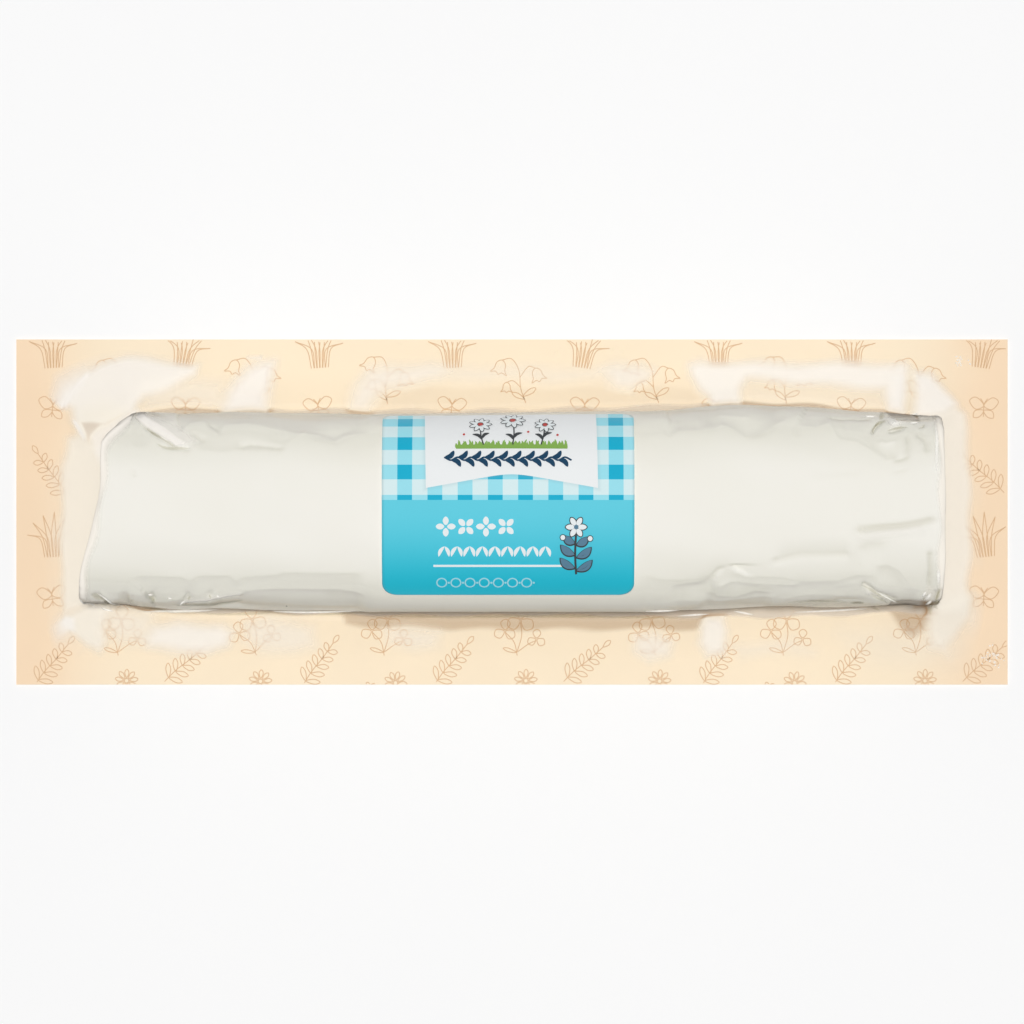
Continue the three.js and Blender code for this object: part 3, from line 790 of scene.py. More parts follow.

# Areas of loose film. A row holds the softness of its edge, its milkiness, its tone (0 white, 1 cream,
# 2 amber, as where the film clings wet to the print, with painted shadow where it lies beside the log,
# 3 dusky, painted shade where it stands steeply beside the log), how high the film swells there, and its
# outline in plan. Where a row is a painted highlight, its milkiness is that highlight's strength.
PATCHES = [
    # Along both long sides, where the film clings to the sheet beside the log, in amber that is partly
    # painted shadow.
    (0.8, 0.09, 2, 0, [(-27, 24.5), (-18, 25), (10, 24.8), (26, 25), (35.7, 24.6), (37.7, 22.7),
     (38.9, 20), (-27.5, 19)]),
    (0.7, 0.45, 2, 0, [(-35, -19), (40, -19), (39, -22.7), (36.9, -23.4), (-24, -23.4), (-33.3, -22.3)]),
    (1, 0.5, 2, 0, [(75.2, -19.8), (84.4, -19.8), (83, -22.7), (80, -25), (77.6, -23.5)]),
    # Painted shade where it stands steeply beside the log.
    (0.35, 0.62, 3, 0, [(-79, -18.2), (-61, -18.6), (25, -18.8), (57, -17.8), (84.8, -17.4), (85.4, -20.3),
     (79, -20.2), (71, -20.1), (62, -20.8), (38, -21), (28, -20.9), (10, -20.5), (-12, -20.6),
     (-34, -20.4), (-52, -20), (-62, -20.1), (-72, -19.7)]),
    (0.4, 0.5, 3, 0, [(-76, 19.8), (-62, 20.7), (-44, 20.5), (-34, 20.4), (-12, 20.2), (10, 20.6),
     (30, 21.2), (38, 21.8), (50, 21.9), (62, 21.2), (72, 20.3), (80, 19.6), (80, 18), (46, 20),
     (-26, 18.5), (-74, 18.5)]),
    # Back left corner: a quarter dome, with its rim and the sharp fold that runs from it to the log painted
    # bright as highlights.
    (1.4, 0.9, 0.25, 1.6, [(-90.2, 21.5), (-89.4, 24.1), (-87.2, 26.5), (-84.6, 28.7), (-81.2, 30.1),
     (-77.2, 30.8), (-72.2, 30.5), (-67.2, 29.9), (-62.6, 28.9), (-63, 27.3), (-66.2, 26.1), (-69.2, 24.7),
     (-73, 23.5), (-74.4, 21.9), (-75.4, 20), (-78.2, 18.6), (-81.2, 16.9), (-83.4, 14.9), (-85.6, 14.4),
     (-87, 17.7), (-87.6, 20.5), (-88.6, 21.3)]),
    (3, 0.7, 1.35, 0, [(-86.8, 20.5), (-82, 21.6), (-77, 20.8), (-80, 17), (-84, 16.4), (-86.2, 18)]),
    (0.45, 0.8, 0, 0.5, [(-90.2, 21.5), (-90, 23.5), (-88.6, 25.5), (-86.8, 27.1), (-84.6, 28.5),
     (-84.4, 27.4), (-86.4, 25.2), (-88, 23.3), (-88.8, 21.5), (-89.6, 20.7)]),
    (0.3, 0.9, 0, 0.6, [(-87.6, 18.3), (-86.8, 18.1), (-84.8, 14.6), (-85.5, 14.1)]),
    # Along the back.
    (2.1, 0.85, 0, 0.2, [(-57.8, 20), (-56.4, 24.1), (-54.8, 26.9), (-52.8, 29.1), (-50.2, 30),
     (-47.4, 30), (-48.2, 26.9), (-48.8, 24.1), (-48.6, 20)]),
    (2.2, 0.6, 0.1, 0.15, [(-31.9, 20.5), (-31.1, 25.3), (-29.1, 27.9), (-25.3, 29.1), (-16.3, 29.3),
     (-13.9, 28.1), (-15.1, 26.5), (-20.3, 25.5), (-25.1, 25.1), (-27.1, 23.3), (-28.5, 20.5)]),
    (1.9, 0.28, 0.2, 0.15, [(-15.1, 28.7), (-8.3, 29.1), (9.7, 28.9), (18.5, 28.3), (17.7, 26.3),
     (9.7, 25.9), (-2.3, 26.3), (-14.3, 26.3)]),
    (1.9, 0.6, 0.1, 0.15, [(18.5, 28.1), (20.5, 29.3), (25.7, 29.5), (28.1, 28.3), (27.3, 26.5),
     (23.7, 24.9), (20.1, 25.3)]),
    (1.6, 0.88, 0.15, 0.25, [(35.5, 29.1), (37.7, 29.9), (49.6, 29.7), (78.6, 29.6), (79.4, 28.7),
     (78.6, 26.5), (78, 20), (75.4, 20.4), (74.2, 24.5), (67.6, 25.1), (57.6, 25.5), (52.6, 26.3),
     (47.2, 26.5), (45.8, 24.5), (45.2, 21.4), (39.6, 21.2), (38.9, 23.3), (37.1, 24.9), (35.7, 27.3)]),
    (1.3, 0.6, 0, 0.35, [(75.6, 27), (78.2, 27.4), (78.2, 20.2), (75.8, 20.2)]),
    (2.4, 0.2, 0.6, 0.1, [(46, 26.3), (75, 25), (75, 20), (46, 20)]),
    # Back right corner: a dome beyond a sharp fold that is clear.
    (1.4, 0.9, 0.1, 1.5, [(80.3, 27.6), (84, 27.6), (86, 25.3), (87.6, 23.3), (88.8, 21.5), (86.4, 19.6),
     (83.6, 19.2), (80.3, 19.2)]),
    # The two ends, from the log to the pocket's outline, with a whiter edge along each end face, painted as
    # a highlight over the shade of its rounded edge.
    (1.3, 0.8, 0.75, 0.25, [(83.5, 19.6), (88.4, 21), (90.4, 19.3), (91.2, 12.5), (91.6, 2.5),
     (91.6, -9.5), (91, -17.5), (90, -20), (83.5, -19.9)]),
    (0.5, 0.96, 0.6, 0, [(83.1, 19), (85, 19), (85, -17), (83.1, -17)]),
    (0.8, 0.42, 1, 0, [(80.5, -15), (84.8, -15), (85, -18.6), (80.5, -18.8)]),
    (1.3, 0.82, 0.95, 0.2, [(-84.4, 14.3), (-86.6, 15.1), (-88.8, 14.3), (-89.9, 8.5), (-90.2, -1.5),
     (-90.2, -13.5), (-89.2, -19.9), (-84, -18.5), (-82.6, -9.5), (-80.4, -1.5), (-79.3, 6.5),
     (-79.2, 13)]),
    (0.5, 0.96, 0.5, 0, [(-85.3, -17), (-84.6, -12), (-83, -6), (-81.6, 0), (-80.7, 7), (-80.9, 13.8),
     (-80, 15.7), (-78.2, 17.8), (-76.4, 19.4), (-75, 20.4), (-74, 18.6), (-75.2, 17.7), (-76.8, 16.3),
     (-78.4, 14.4), (-79, 12), (-79, 7), (-79.9, 0), (-81.4, -6), (-83, -12), (-83.7, -17)]),
    (1.1, 0.8, 0.35, 0, [(-83.8, 15.2), (-81.4, 16.8), (-78.3, 18.8), (-76, 19.6), (-74.4, 20.6),
     (-73.2, 18.8), (-75.6, 16.6), (-78.6, 12.6), (-79.4, 9), (-81.6, 9), (-83.2, 12)]),
    (0.35, 0.5, 1.4, 0, [(-81.6, 16.8), (-78.4, 18.9), (-77, 19.8), (-78.2, 19.9), (-81.4, 17.7)]),
    # Front right corner.
    (1.9, 0.88, 1.05, 1.4, [(83.6, -18.4), (86.6, -17.6), (90.6, -16.4), (92.2, -16.7), (91.4, -21.5),
     (89, -25.3), (86.2, -27.7), (83.6, -27), (83.2, -23.1)]),
    # Front left corner, with a painted highlight spot.
    (1.4, 0.88, 0.95, 1.3, [(-90.6, -21.7), (-89.4, -20.3), (-86.2, -19.3), (-83.4, -17.8), (-80.2, -18.6),
     (-81.4, -22.7), (-81, -25.5), (-82.6, -27.7), (-85.4, -26.9), (-87.8, -24.9), (-89.8, -23.3)]),
    (0.6, 0.8, 0, 0.4, [(-90.5, -21.8), (-89, -20.6), (-87.2, -21.2), (-87.5, -23.9), (-89.1, -23.4)]),
    (2.9, 0.55, 0.6, 0.25, [(-81, -19), (-72, -19.4), (-71.8, -23.5), (-73.8, -26.1), (-78.2, -25.3),
     (-81, -23)]),
    # Along the front.
    (1.9, 0.85, 0.2, 0.2, [(-73, -25.3), (-71.6, -23.3), (-66.2, -22.3), (-57.8, -22.5), (-55.8, -24.1),
     (-56.6, -26.9), (-61.2, -27.9), (-68.6, -27.5), (-72.2, -27.1)]),
    (2.4, 0.5, 0.4, 0.15, [(-53.6, -22.5), (-48.6, -21.2), (-43.8, -21.6), (-39.7, -23.3), (-39.5, -26.9),
     (-43.8, -27.9), (-49.8, -27.3), (-53, -25.7)]),
    (2.1, 0.4, 0.2, 0.12, [(-25.5, -23.8), (-21.9, -23.4), (-14.3, -23.8), (-15.1, -26.5), (-20.3, -27.3),
     (-24.7, -26.5)]),
    (1.9, 0.6, 0.2, 0.12, [(24.9, -25.3), (28.7, -24.4), (32.1, -25.7), (31.7, -28.3), (27.3, -29.3),
     (24.5, -28)]),
    (1.6, 0.82, 0.3, 0.17, [(37.9, -22.9), (38.9, -20.9), (42.2, -21.3), (43, -23.9), (42, -28.1),
     (38.9, -28.7), (37.3, -26.3)]),
    (2.2, 0.3, 0.3, 0.1, [(44, -26.5), (56, -26), (60, -28), (46, -28.6)]),
    (4, 0.25, 0.8, 0.1, [(84, -24), (90, -28.5), (88, -30.5), (70, -29), (66, -24)]),
    (0.6, 0.8, 1.5, 0, [(-86, 17.8), (-81.6, 17.6), (-84.4, 14)]),
    (0.8, 0.3, 1.4, 0, [(78.4, 28), (80.4, 28), (81, 20), (78.6, 20)]),
    # A faint veil between the back left dome and the log, and specks where the seal has let go.
    (2.5, 0.4, 0.5, 0, [(-73, 26), (-58, 26), (-57, 21), (-73, 21)]),
    (0.35, 0.5, 0, 0.05, [(-53, 31.6), (-49.8, 31.4), (-49.9, 31), (-53, 31.1)]),
]
# Film that lies double over the log, painted whiter as a highlight: softness of its edge, milkiness, and
# outline in plan.
DOUBLED_HIGHLIGHTS = [
    (0.35, 0.8, [(-73.6, 20), (-72.4, 19.9), (-70.4, 18.3), (-67.4, 16.4), (-64.6, 14.3), (-63.4, 13.2),
     (-65.4, 12.9), (-67.6, 14.5), (-71.2, 16.5), (-73.6, 18.4)]),
    (1.1, 0.4, [(-73, 20), (-70.5, 19.2), (-66.6, 17.6), (-63, 15.4), (-61.4, 13.6), (-65, 12.9),
     (-70, 15.6)]),
]
# Sharp folds in the loose film: height, width, and line in plan.
LOOSE_FOLDS = [
    (1, 0.45, [(-87.4, 18.3), (-84.6, 14.2)]),
    (0.5, 0.6, [(-89.8, 22.5), (-87, 26.6), (-83.8, 28.8)]),
    (-0.7, 0.7, [(79.5, 28.6), (79.2, 20)]),
    (0.6, 0.7, [(77, 27.2), (77.2, 20.2)]),
    (0.25, 0.4, [(-67.3, 26), (-67.1, 21)]),
    (0.15, 0.4, [(-43, 28), (-42.8, 21.5)]),
    (0.25, 0.4, [(-48.2, 29), (-48.6, 21.5)]),
    (0.3, 0.6, [(84.2, 27), (88.6, 21.8)]),
    (0.5, 0.7, [(84.4, -18.8), (87, -26.5)]),
    (0.15, 0.5, [(91, 18), (91.6, 0), (91.2, -18)]),
    (0.4, 0.7, [(-82, -19), (-84, -26.5)]),
    (0.4, 0.5, [(-89, -21.5), (-84, -18.8)]),
    (0.15, 0.4, [(43, -21.5), (42, -28)]),
    (0.12, 0.5, [(-36, -21.5), (-34.5, -23.5), (36, -23.6), (40, -21.5)]),
]


def pocket_reach(start, plan):
    """Distance from the spine to the pocket's outline, a rectangle with round corners."""
    def outside(reach):
        x = np.abs(start + reach * plan[:, 0] - POCKET_CENTRE[0]) - POCKET_HALF_LENGTH + POCKET_CORNER
        y = np.abs(reach * plan[:, 1] - POCKET_CENTRE[1]) - POCKET_HALF_WIDTH + POCKET_CORNER
        return np.hypot(np.maximum(x, 0), np.maximum(y, 0)) > POCKET_CORNER

    return halved(outside, np.full(len(start), LONGEST_RUN))


def web_height(plan, start):
    """Where the film leaves the log: low along its sides, higher at its ends, highest at the corners."""
    endways = np.abs(plan[:, 0])
    end = eased(endways, 0.5, 0.95)
    corner = np.exp(-(((endways - 0.72) / 0.22) ** 2)) * (np.abs(start) > SPINE_END - 1)
    return SIDE_WEB + (END_WEB - SIDE_WEB) * end + (CORNER_WEB - SIDE_WEB) * corner * (1 - 0.5 * end)


def inside_patch(outline, softness, x, y):
    """1 well inside an outline and 0 well outside it, with a soft edge."""
    near = close_to(outline, 3 * softness, x, y)
    px, py = x[near], y[near]
    outline = [*outline, outline[0]]
    away = nearest_on_line(outline, px, py)[0]
    inside = np.zeros(px.shape, bool)
    for (x0, y0), (x1, y1) in zip(outline, outline[1:]):
        inside ^= ((y0 > py) != (y1 > py)) & (px < x0 + (py - y0) * (x1 - x0) / (y1 - y0 + 1e-12))
    share = np.zeros_like(x)
    share[near] = eased(np.where(inside, away, -away), -softness, softness)
    return share


def loose_relief(x, y, t):
    """Height of the loose film's swells, folds and ripples inside the pocket."""
    height = 0.1 + 0.05 * np.sin(x * 0.9 + 2 * np.sin(y * 0.4)) * np.sin(y * 0.8 + x * 0.2)
    for softness, _, _, swell, outline in PATCHES:
        if swell:
            height = height + swell * inside_patch(outline, softness + 2.0, x, y)
    for fold, width, points in LOOSE_FOLDS:
        away, _, travelled, length = nearest_on_line(points, x, y)
        taper = eased(travelled, -0.01, length * 0.3) * eased(length - travelled, -0.01, length * 0.3)
        height = height + fold * np.exp(-away / width) * (0.3 + 0.7 * taper)
    inside = np.sin(math.pi * np.clip(t, 0, 1)) ** 0.7
    return height * inside


def milkiness(x, y, z):
    """How milky the film is and its tone there, with painted shade, shadow and highlights. It is clear over
    the log's flanks and top, except where doubled film is painted whiter as a highlight.
    """
    clear = np.ones_like(x)
    tone = np.zeros_like(x)
    bent_x = x + 0.3 * np.sin(y * 0.5 + x * 0.3)
    bent_y = y + 0.3 * np.sin(x * 0.4 - y * 0.3)
    for softness, milk_and_painted_light, patch_tone, _, outline in PATCHES:
        share = milk_and_painted_light * inside_patch(outline, softness, bent_x, bent_y)
        clear = clear * (1 - share)
        tone = tone * (1 - share) + patch_tone * share
    milk_and_painted_light = 1 - clear
    top = 13 + 28 * eased(np.abs(x), 72, 76)
    tone = tone / np.maximum(milk_and_painted_light, 1e-6)
    milk_and_painted_light = milk_and_painted_light * (1 - eased(z, top - 6, top))
    for softness, doubled_highlight, outline in DOUBLED_HIGHLIGHTS:
        share = inside_patch(outline, softness, x, y)
        milk_and_painted_light = np.maximum(milk_and_painted_light, doubled_highlight * share)
        tone = tone * (1 - share)
    return milk_and_painted_light, tone


def bezier(t, a, b, c, d):
    """A cubic curve's value at t."""
    return (1 - t) ** 3 * a + 3 * t * (1 - t) ** 2 * b + 3 * t * t * (1 - t) * c + t**3 * d


def build_film():
    rim = rim_walk(FILM_SPACING, END_SPACING)
    start, plan, rim_reach = rays_from_spine(rim)
    flat = SHEET_TOP + FILM_LIFT
    web = web_height(plan, start)
    low = np.full(len(rim), -0.5)
    for _ in range(12):
        reach = cast(start, plan.T, low)
        low = np.arctan2(web - LOG_WAIST, np.maximum(reach * np.cos(low), 1))
    tight, _, doubled_highlight = log_surface(rim, even_turns(start, plan, low, FILM_LEVELS), 0.0)
    foot = tight[0]
    foot_reach = np.hypot(foot[:, 0] - start, foot[:, 1])
    pocket = pocket_reach(start, plan)
    t = np.linspace(0, 1, SLOPE_LEVELS + 1)[:-1, None]
    gap = pocket - foot_reach
    reach = bezier(t, foot_reach + 0 * gap, foot_reach + 0.06 * gap, foot_reach + 0.3 * gap, pocket)
    height = bezier(t, foot[:, 2], flat + (foot[:, 2] - flat) * 0.45, flat + 0 * gap, flat + 0 * gap)
    x = start + reach * plan[:, 0]
    y = reach * plan[:, 1]
    slope = np.stack([x, y, height + loose_relief(x, y, t)], -1)
    s = np.linspace(0, 1, FLANGE_LEVELS + 1)[:, None]
    reach = pocket + (rim_reach - pocket) * s
    flange = np.stack([start + reach * plan[:, 0], reach * plan[:, 1], flat + 0 * reach], -1)
    points = np.concatenate([flange[::-1], slope[::-1], tight[1:]])
    made = make_mesh("film", points.reshape(-1, 3), ring_faces(len(rim), len(points)), [film_material()])
    milk_and_painted_light, tone = milkiness(points[..., 0], points[..., 1], points[..., 2])
    milk_and_painted_light[-len(doubled_highlight):] = np.maximum(milk_and_painted_light[-len(doubled_highlight):], doubled_highlight)
    store_value(made, "milk_and_painted_light", milk_and_painted_light)
    store_value(made, "tone", tone)
    weld(made)
    return made


def make_levelled_normal():
    """The face's direction pulled towards the sheet's up: thin film glows evenly, however it lies."""
    sockets_in = [("Pull", "NodeSocketFloat", 1.6)]
    tree, given, result = new_group("levelled normal", sockets_in, [("Normal", "NodeSocketVector")])
    up = node(tree, "CombineXYZ", {"Z": given.outputs["Pull"]}).outputs[0]
    up = node(tree, "VectorTransform", {0: up}, vector_type="VECTOR", convert_from="OBJECT",
              convert_to="WORLD").outputs[0]
    faced = node(tree, "NewGeometry").outputs["Normal"]
    pulled = node(tree, "VectorMath", {0: faced, 1: up}, operation="ADD").outputs[0]
    level = node(tree, "VectorMath", {0: pulled}, operation="NORMALIZE").outputs[0]
    feed(tree, result.inputs["Normal"], level)
    return tree


levelled_normal = make_levelled_normal()


def without_shadow(tree, shader):
    """A shader that lets all light on to what lies below it."""
    shadow = node(tree, "LightPath").outputs["Is Shadow Ray"]
    through = node(tree, "BsdfTransparent").outputs[0]
    return node(tree, "MixShader", {0: shadow, 1: shader, 2: through}).outputs[0]


def film_material():
    """Clear glossy film, see-through where it is tight and milky where it lies loose, its tones holding
    painted shade and shadow.
    """
    material, tree, surface = new_material("clear film")
    tone = stored(tree, "tone")
    # Tones: white and cream milk, then amber, partly painted shadow, then dusky, painted shade.
    colour = blend_colours(tree, maths(tree, "MINIMUM", tone, 1), (0.98, 0.935, 0.875), (0.965, 0.9, 0.785))
    colour = blend_colours(tree, maths(tree, "SUBTRACT", tone, 1, clamp=True), colour, (0.40, 0.23, 0.11))
    colour = blend_colours(tree, maths(tree, "SUBTRACT", tone, 2, clamp=True), colour, (0.6, 0.525, 0.45))
    body = principled(tree, {
        "Base Color": colour,
        "Roughness": 0.6,
        "Specular IOR Level": 0,
        "Alpha": stored(tree, "milk_and_painted_light"),
        "Normal": place_group(tree, levelled_normal, Pull=3.5)["Normal"],
    })
    bump = bumpy(tree, cloudy(tree, place_on(tree), 120, 1), 0.1, 0.0005)
    shine = node(tree, "BsdfGlossy", {"Color": (1, 1, 1, 1), "Roughness": 0.16, "Normal": bump})
    facing = node(tree, "LayerWeight", {"Blend": 0.5, "Normal": bump}).outputs["Facing"]
    mirror = maths(tree, "MULTIPLY_ADD", maths(tree, "POWER", facing, 5), 0.06, 0.04)
    mixed = node(tree, "MixShader", {0: mirror, 1: body, 2: shine.outputs[0]}).outputs[0]
    # Loose film scatters light onwards and doesn't stop it.
    feed(tree, surface, without_shadow(tree, mixed))
    return material


film = build_film()
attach(film, "root")
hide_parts("clear_film")


# Creases of the film. Where the real film is pinched, thin dark lines show whey with painted shade,
# olive lines beside the folds are painted shade, and its doubled edges get painted highlights. Small
# white flecks mark where the seal has let go. Each is a narrow ribbon that lies on the film and fades
# out at its sides.
CREASE_LIFT = 0.06
CREASE_STEP = 0.006
CREASE_LEVELS = 9
SPECK_SIZE = 0.45
EDGE_MARGIN = 0.8
# For each kind its colour, how far it covers what is under it, and its lines: width and places in plan.
CREASES = {
    "whey_and_shade": ((0.3, 0.27, 0.12), 0.48, [
        (0.7, [(-71.4, 16.5), (-70.1, 15.5), (-68.9, 14.8), (-67.6, 14)]),
        (0.5, [(70.4, 15.2), (70.3, 15.9), (71, 16.9), (71.7, 17.4)]),
        (0.9, [(70.8, 16.7), (71.7, 17.4), (73, 17.8)]),
        (0.6, [(73.2, 15.8), (74.1, 16.1), (75.1, 16.3), (76, 16.45), (77.2, 16.5)]),
        (0.6, [(78.7, 19), (80.8, 19)]),
        (0.6, [(66.2, -17.8), (69, -17.8)]),
        (0.7, [(-80.5, -16.5), (-79.4, -17.4), (-78.4, -18.2)]),
        (0.6, [(-80, -17.4), (-79.2, -18.1)]),
        (0.6, [(-73.6, -19), (-72, -19.2), (-70, -19.4), (-67, -19.9), (-63, -20.1)]),
        (0.5, [(83, -17.6), (82, -18.1), (81, -18.6)]),
        (0.5, [(82.9, -17.7), (84.4, -17.5), (86, -17.1)]),
        (0.9, [(82.6, -17.9), (83.6, -17.8), (84.2, -17.6)]),
        (0.5, [(83.4, -14.9), (83, -16.4), (82.9, -17.6)]),
        (0.4, [(80.3, -17.3), (80.5, -16.7)]),
        (0.4, [(81.2, -16.8), (81.4, -16.2)]),
        (0.5, [(80.8, -17.8), (81.7, -17.5)]),
        (0.4, [(-44.4, -18.5), (-44.1, -18.5)]),
    ]),
    "shade": ((0.48, 0.44, 0.24), 0.32, [
        (0.6, [(-67.8, 14.1), (-66.6, 13.5), (-65.5, 12.7), (-63, 12.4)]),
        (0.7, [(-69.2, 13.3), (-67.4, 12.5), (-64.8, 12.3), (-62.4, 12.4)]),
        (1.2, [(72.9, 19.7), (72.4, 18.8), (71.8, 18)]),
        (0.6, [(79.2, 16.2), (80.1, 16.6), (80.6, 17.2)]),
        (0.8, [(68.1, -14.2), (69.7, -15), (71.6, -16.1), (74, -17.1), (76, -17.7)]),
        (0.7, [(69.7, -15.9), (71.6, -16.8), (73.6, -17.9)]),
        (0.7, [(70.8, -18.4), (73.3, -19.7)]),
        (1.7, [(-82.2, -16), (-81, -16.5), (-79.9, -17)]),
        (0.6, [(-82.4, -18), (-81.2, -18.5), (-80, -18.3), (-79, -18.5), (-78.2, -18.1)]),
        (0.8, [(-65.6, -18.3), (-61.4, -18.3), (-56.9, -18), (-52.6, -17.2)]),
        (1, [(-70.9, -16.3), (-70.2, -17.1), (-70.4, -18)]),
        (0.7, [(-63.3, -17.2), (-62.8, -16.4)]),
        (0.6, [(-59.1, -16.1), (-58.7, -16.9)]),
        (0.6, [(-63, -20.1), (-58, -20.4), (-52, -20.3), (-47.7, -20.1)]),
        (0.6, [(-39, -20.6), (-33, -20.1), (-28.6, -19.8)]),
        (0.7, [(-28, -20.7), (-12, -20.9), (8, -20.7), (26, -21), (40, -21)]),
        (2.2, [(83.5, -14.7), (83.4, -16.2), (83.2, -18)]),
        (1, [(83.4, -18), (84.9, -19.3)]),
        (1.2, [(83.3, -18.4), (83.5, -20.6)]),
        (0.6, [(54, -17.7), (60, -17.5), (66.4, -17.7)]),
    ]),
    "painted_highlight_and_fleck": ((0.98, 0.96, 0.9), 0.85, [
        (0.5, [(-81, -15.7), (-79.8, -16.6), (-79.1, -17.2), (-78.2, -18), (-77, -18.6)]),
        (0.5, [(-82, -19.1), (-80.8, -19.5), (-79.4, -19.8)]),
        (0.5, [(-84.6, -17), (-83.8, -18.2), (-83.2, -18.8)]),
        (0.5, [(-71, -16.2), (-70.2, -16.1)]),
        (0.4, [(-67.2, -16.8), (-66.4, -16.9)]),
        (0.5, [(-65.2, -18.4), (-64.5, -17.8), (-63.8, -17.3)]),
        (0.6, [(-57.6, -16.3), (-57, -16.6)]),
        (0.7, [(-73.6, -19.9), (-66, -19.6), (-58, -19.4)]),
        (0.5, [(69, 18.7), (71.2, 18.7)]),
        (0.4, [(78.6, 19.3), (80.6, 19.3)]),
        (2, [(73.2, 18.3), (74.4, 17.6), (75.6, 17.1)]),
        (0.5, [(77.6, 17.4), (79.4, 17.5)]),
        (0.8, [(82.7, 17.4), (82.6, 13.2), (82.3, 8)]),
        (0.9, [(82.8, -11), (83, -14)]),
        (0.5, [(70.9, -15.4), (73, -16.6), (75.4, -17.8)]),
        (0.7, [(80, -16.5), (80.6, -15.5)]),
        (0.8, [(80.8, -17.1), (81.7, -15.8)]),
        (0.7, [(81, -18.2), (82, -17.3)]),
        (0.5, [(26, -19.5), (33, -19.3)]),
        (0.5, [(33, -20.7), (39.5, -20.3)]),
        (0.5, [(44, -19.7), (48.3, -20.5)]),
        (0.5, [(56, -20), (64.4, -19.6), (71, -19.2)]),
        (0.5, [(-48, -19.6), (-40, -19.8), (-30, -19.5)]),
    ]),
}
# Two clouds of white flecks on the seal at the right: middle, half sizes and number.
FLECKS = [((96.2, -28.6), (2.3, 3.2), 34), ((89.8, 30.2), (2.2, 1.4), 16)]


def crease_material(name, colour):
    """A crease's own colour, a little streaky, fading out with the cover stored in its points."""
    material, tree, surface = new_material(name)
    streak = maths(tree, "MULTIPLY_ADD", cloudy(tree, place_on(tree), 1500, 1), 0.5, 0.75)
    shader = principled(tree, {
        "Base Color": (*colour, 1),
        "Roughness": 0.6,
        "Alpha": maths(tree, "MULTIPLY", stored(tree, "cover"), streak, clamp=True),
        "Normal": place_group(tree, levelled_normal, Pull=2.5)["Normal"],
    })
    # A crease is part of the film, so it stops no light either.
    feed(tree, surface, without_shadow(tree, shader))
    return material


def build_creases():
    chance = np.random.default_rng(7)
    specks = []
    for middle, size, count in FLECKS:
        for _ in range(count):
            place = np.array(middle) + chance.normal(0, 0.45, 2) * size
            place = np.minimum(place, (SHEET_HALF_LENGTH - EDGE_MARGIN, SHEET_HALF_WIDTH - EDGE_MARGIN))
            specks.append((SPECK_SIZE, [place, place + chance.uniform(-SPECK_SIZE, SPECK_SIZE, 2)]))
    corners = [tuple(vertex.co) for vertex in film.data.vertices]
    surface = BVHTree.FromPolygons(corners, [tuple(polygon.vertices) for polygon in film.data.polygons])
    down = Vector((0, 0, -1))
    pieces, covers, kinds = [], [], []
    for kind, (name, (_, strength, lines)) in enumerate(CREASES.items()):
        # White lines of painted highlight and the real flecks share one material.
        for width, places in lines + (specks if name == "painted_highlight_and_fleck" else []):
            line = smooth_line(places, steps=6)
            swell = np.sin(math.pi * np.linspace(0.04, 0.96, len(line))) ** 0.6
            flat, faces = strip(line, width * swell, across=4)
            tops = [surface.ray_cast(Vector((x * MM, y * MM, 0.1)), down)[0].z / MM for x, y in flat]
            if name == "painted_highlight_and_fleck" and width < 1:
                tops = np.repeat(np.reshape(tops, (-1, 5)).max(1), 5)
            lift = CREASE_LIFT + CREASE_STEP * (len(pieces) % CREASE_LEVELS)
            pieces.append((np.column_stack([flat, np.array(tops) + lift]), faces))
            covers.append((strength * swell[:, None] * (0, 0.7, 1, 0.7, 0)).ravel())
            kinds += [kind] * len(faces)
    materials = [crease_material("film " + name, colour) for name, (colour, _, _) in CREASES.items()]
    made = make_mesh("creases", *gather(pieces), materials, kinds)
    store_value(made, "cover", np.concatenate(covers))
    return made


creases = build_creases()
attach(creases, "root")


# Label. The real one is a satin paper label with round corners, bent over the log's top and glued to the
# film. It is printed with a blue gingham, a white banner with a swallow-tail foot, and a turquoise field.
LABEL_BACK_ARC = 22.8
LABEL_FRONT_ARC = 17.1
LABEL_FRONT_CORNER = 2.9
LABEL_BACK_CORNER = 2.1
LABEL_LIFT = 0.14
LABEL_THICKNESS = 0.2
LABEL_STEP = 0.7
LABEL_ARC = LABEL_FRONT_ARC + LABEL_BACK_ARC
ARC_SAMPLES = 320
CHECK_PITCH = 5.86
CHECK_FIRST_COLUMN = -21.5
CHECK_FIRST_ROW = 6.3
FIELD_TOP = 2.33
BANNER_HALF_WIDTH = 16.7
BANNER_NOTCH = 7.3
BANNER_TIP = 4.65


def on_label(u, v, height):
    """Points on the bent label: u along the log from its middle, v along the arc from the crown."""
    x = LABEL_CENTRE + np.asarray(u, float)
    angle = np.linspace(0, math.pi, ARC_SAMPLES + 1)
    side, rise = np.cos(angle), np.sin(angle)
    half_width = np.where(side >= 0, along(BACK_EDGE, x)[:, None], along(FRONT_EDGE, x)[:, None])
    power = 2 / UPPER_ROUNDNESS
    ys = np.sign(side) * half_width * np.abs(side) ** power
    zs = LOG_WAIST + (LOG_TOP - LOG_WAIST) * np.abs(rise) ** power + 0 * ys
    lengths = np.concatenate([np.zeros((len(x), 1)), np.cumsum(np.hypot(np.diff(ys), np.diff(zs)), 1)], 1)
    wanted = lengths[:, ARC_SAMPLES // 2] - np.asarray(v, float)
    i = np.clip((lengths > wanted[:, None]).argmax(1), 1, ARC_SAMPLES)
    row = np.arange(len(x))
    span = lengths[row, i] - lengths[row, i - 1]
    share = (wanted - lengths[row, i - 1]) / span
    dy = (ys[row, i] - ys[row, i - 1]) / span
    dz = (zs[row, i] - zs[row, i - 1]) / span
    y = ys[row, i - 1] + dy * span * share + dz * height
    z = zs[row, i - 1] + dz * span * share - dy * height
    return np.column_stack([x, y, z])


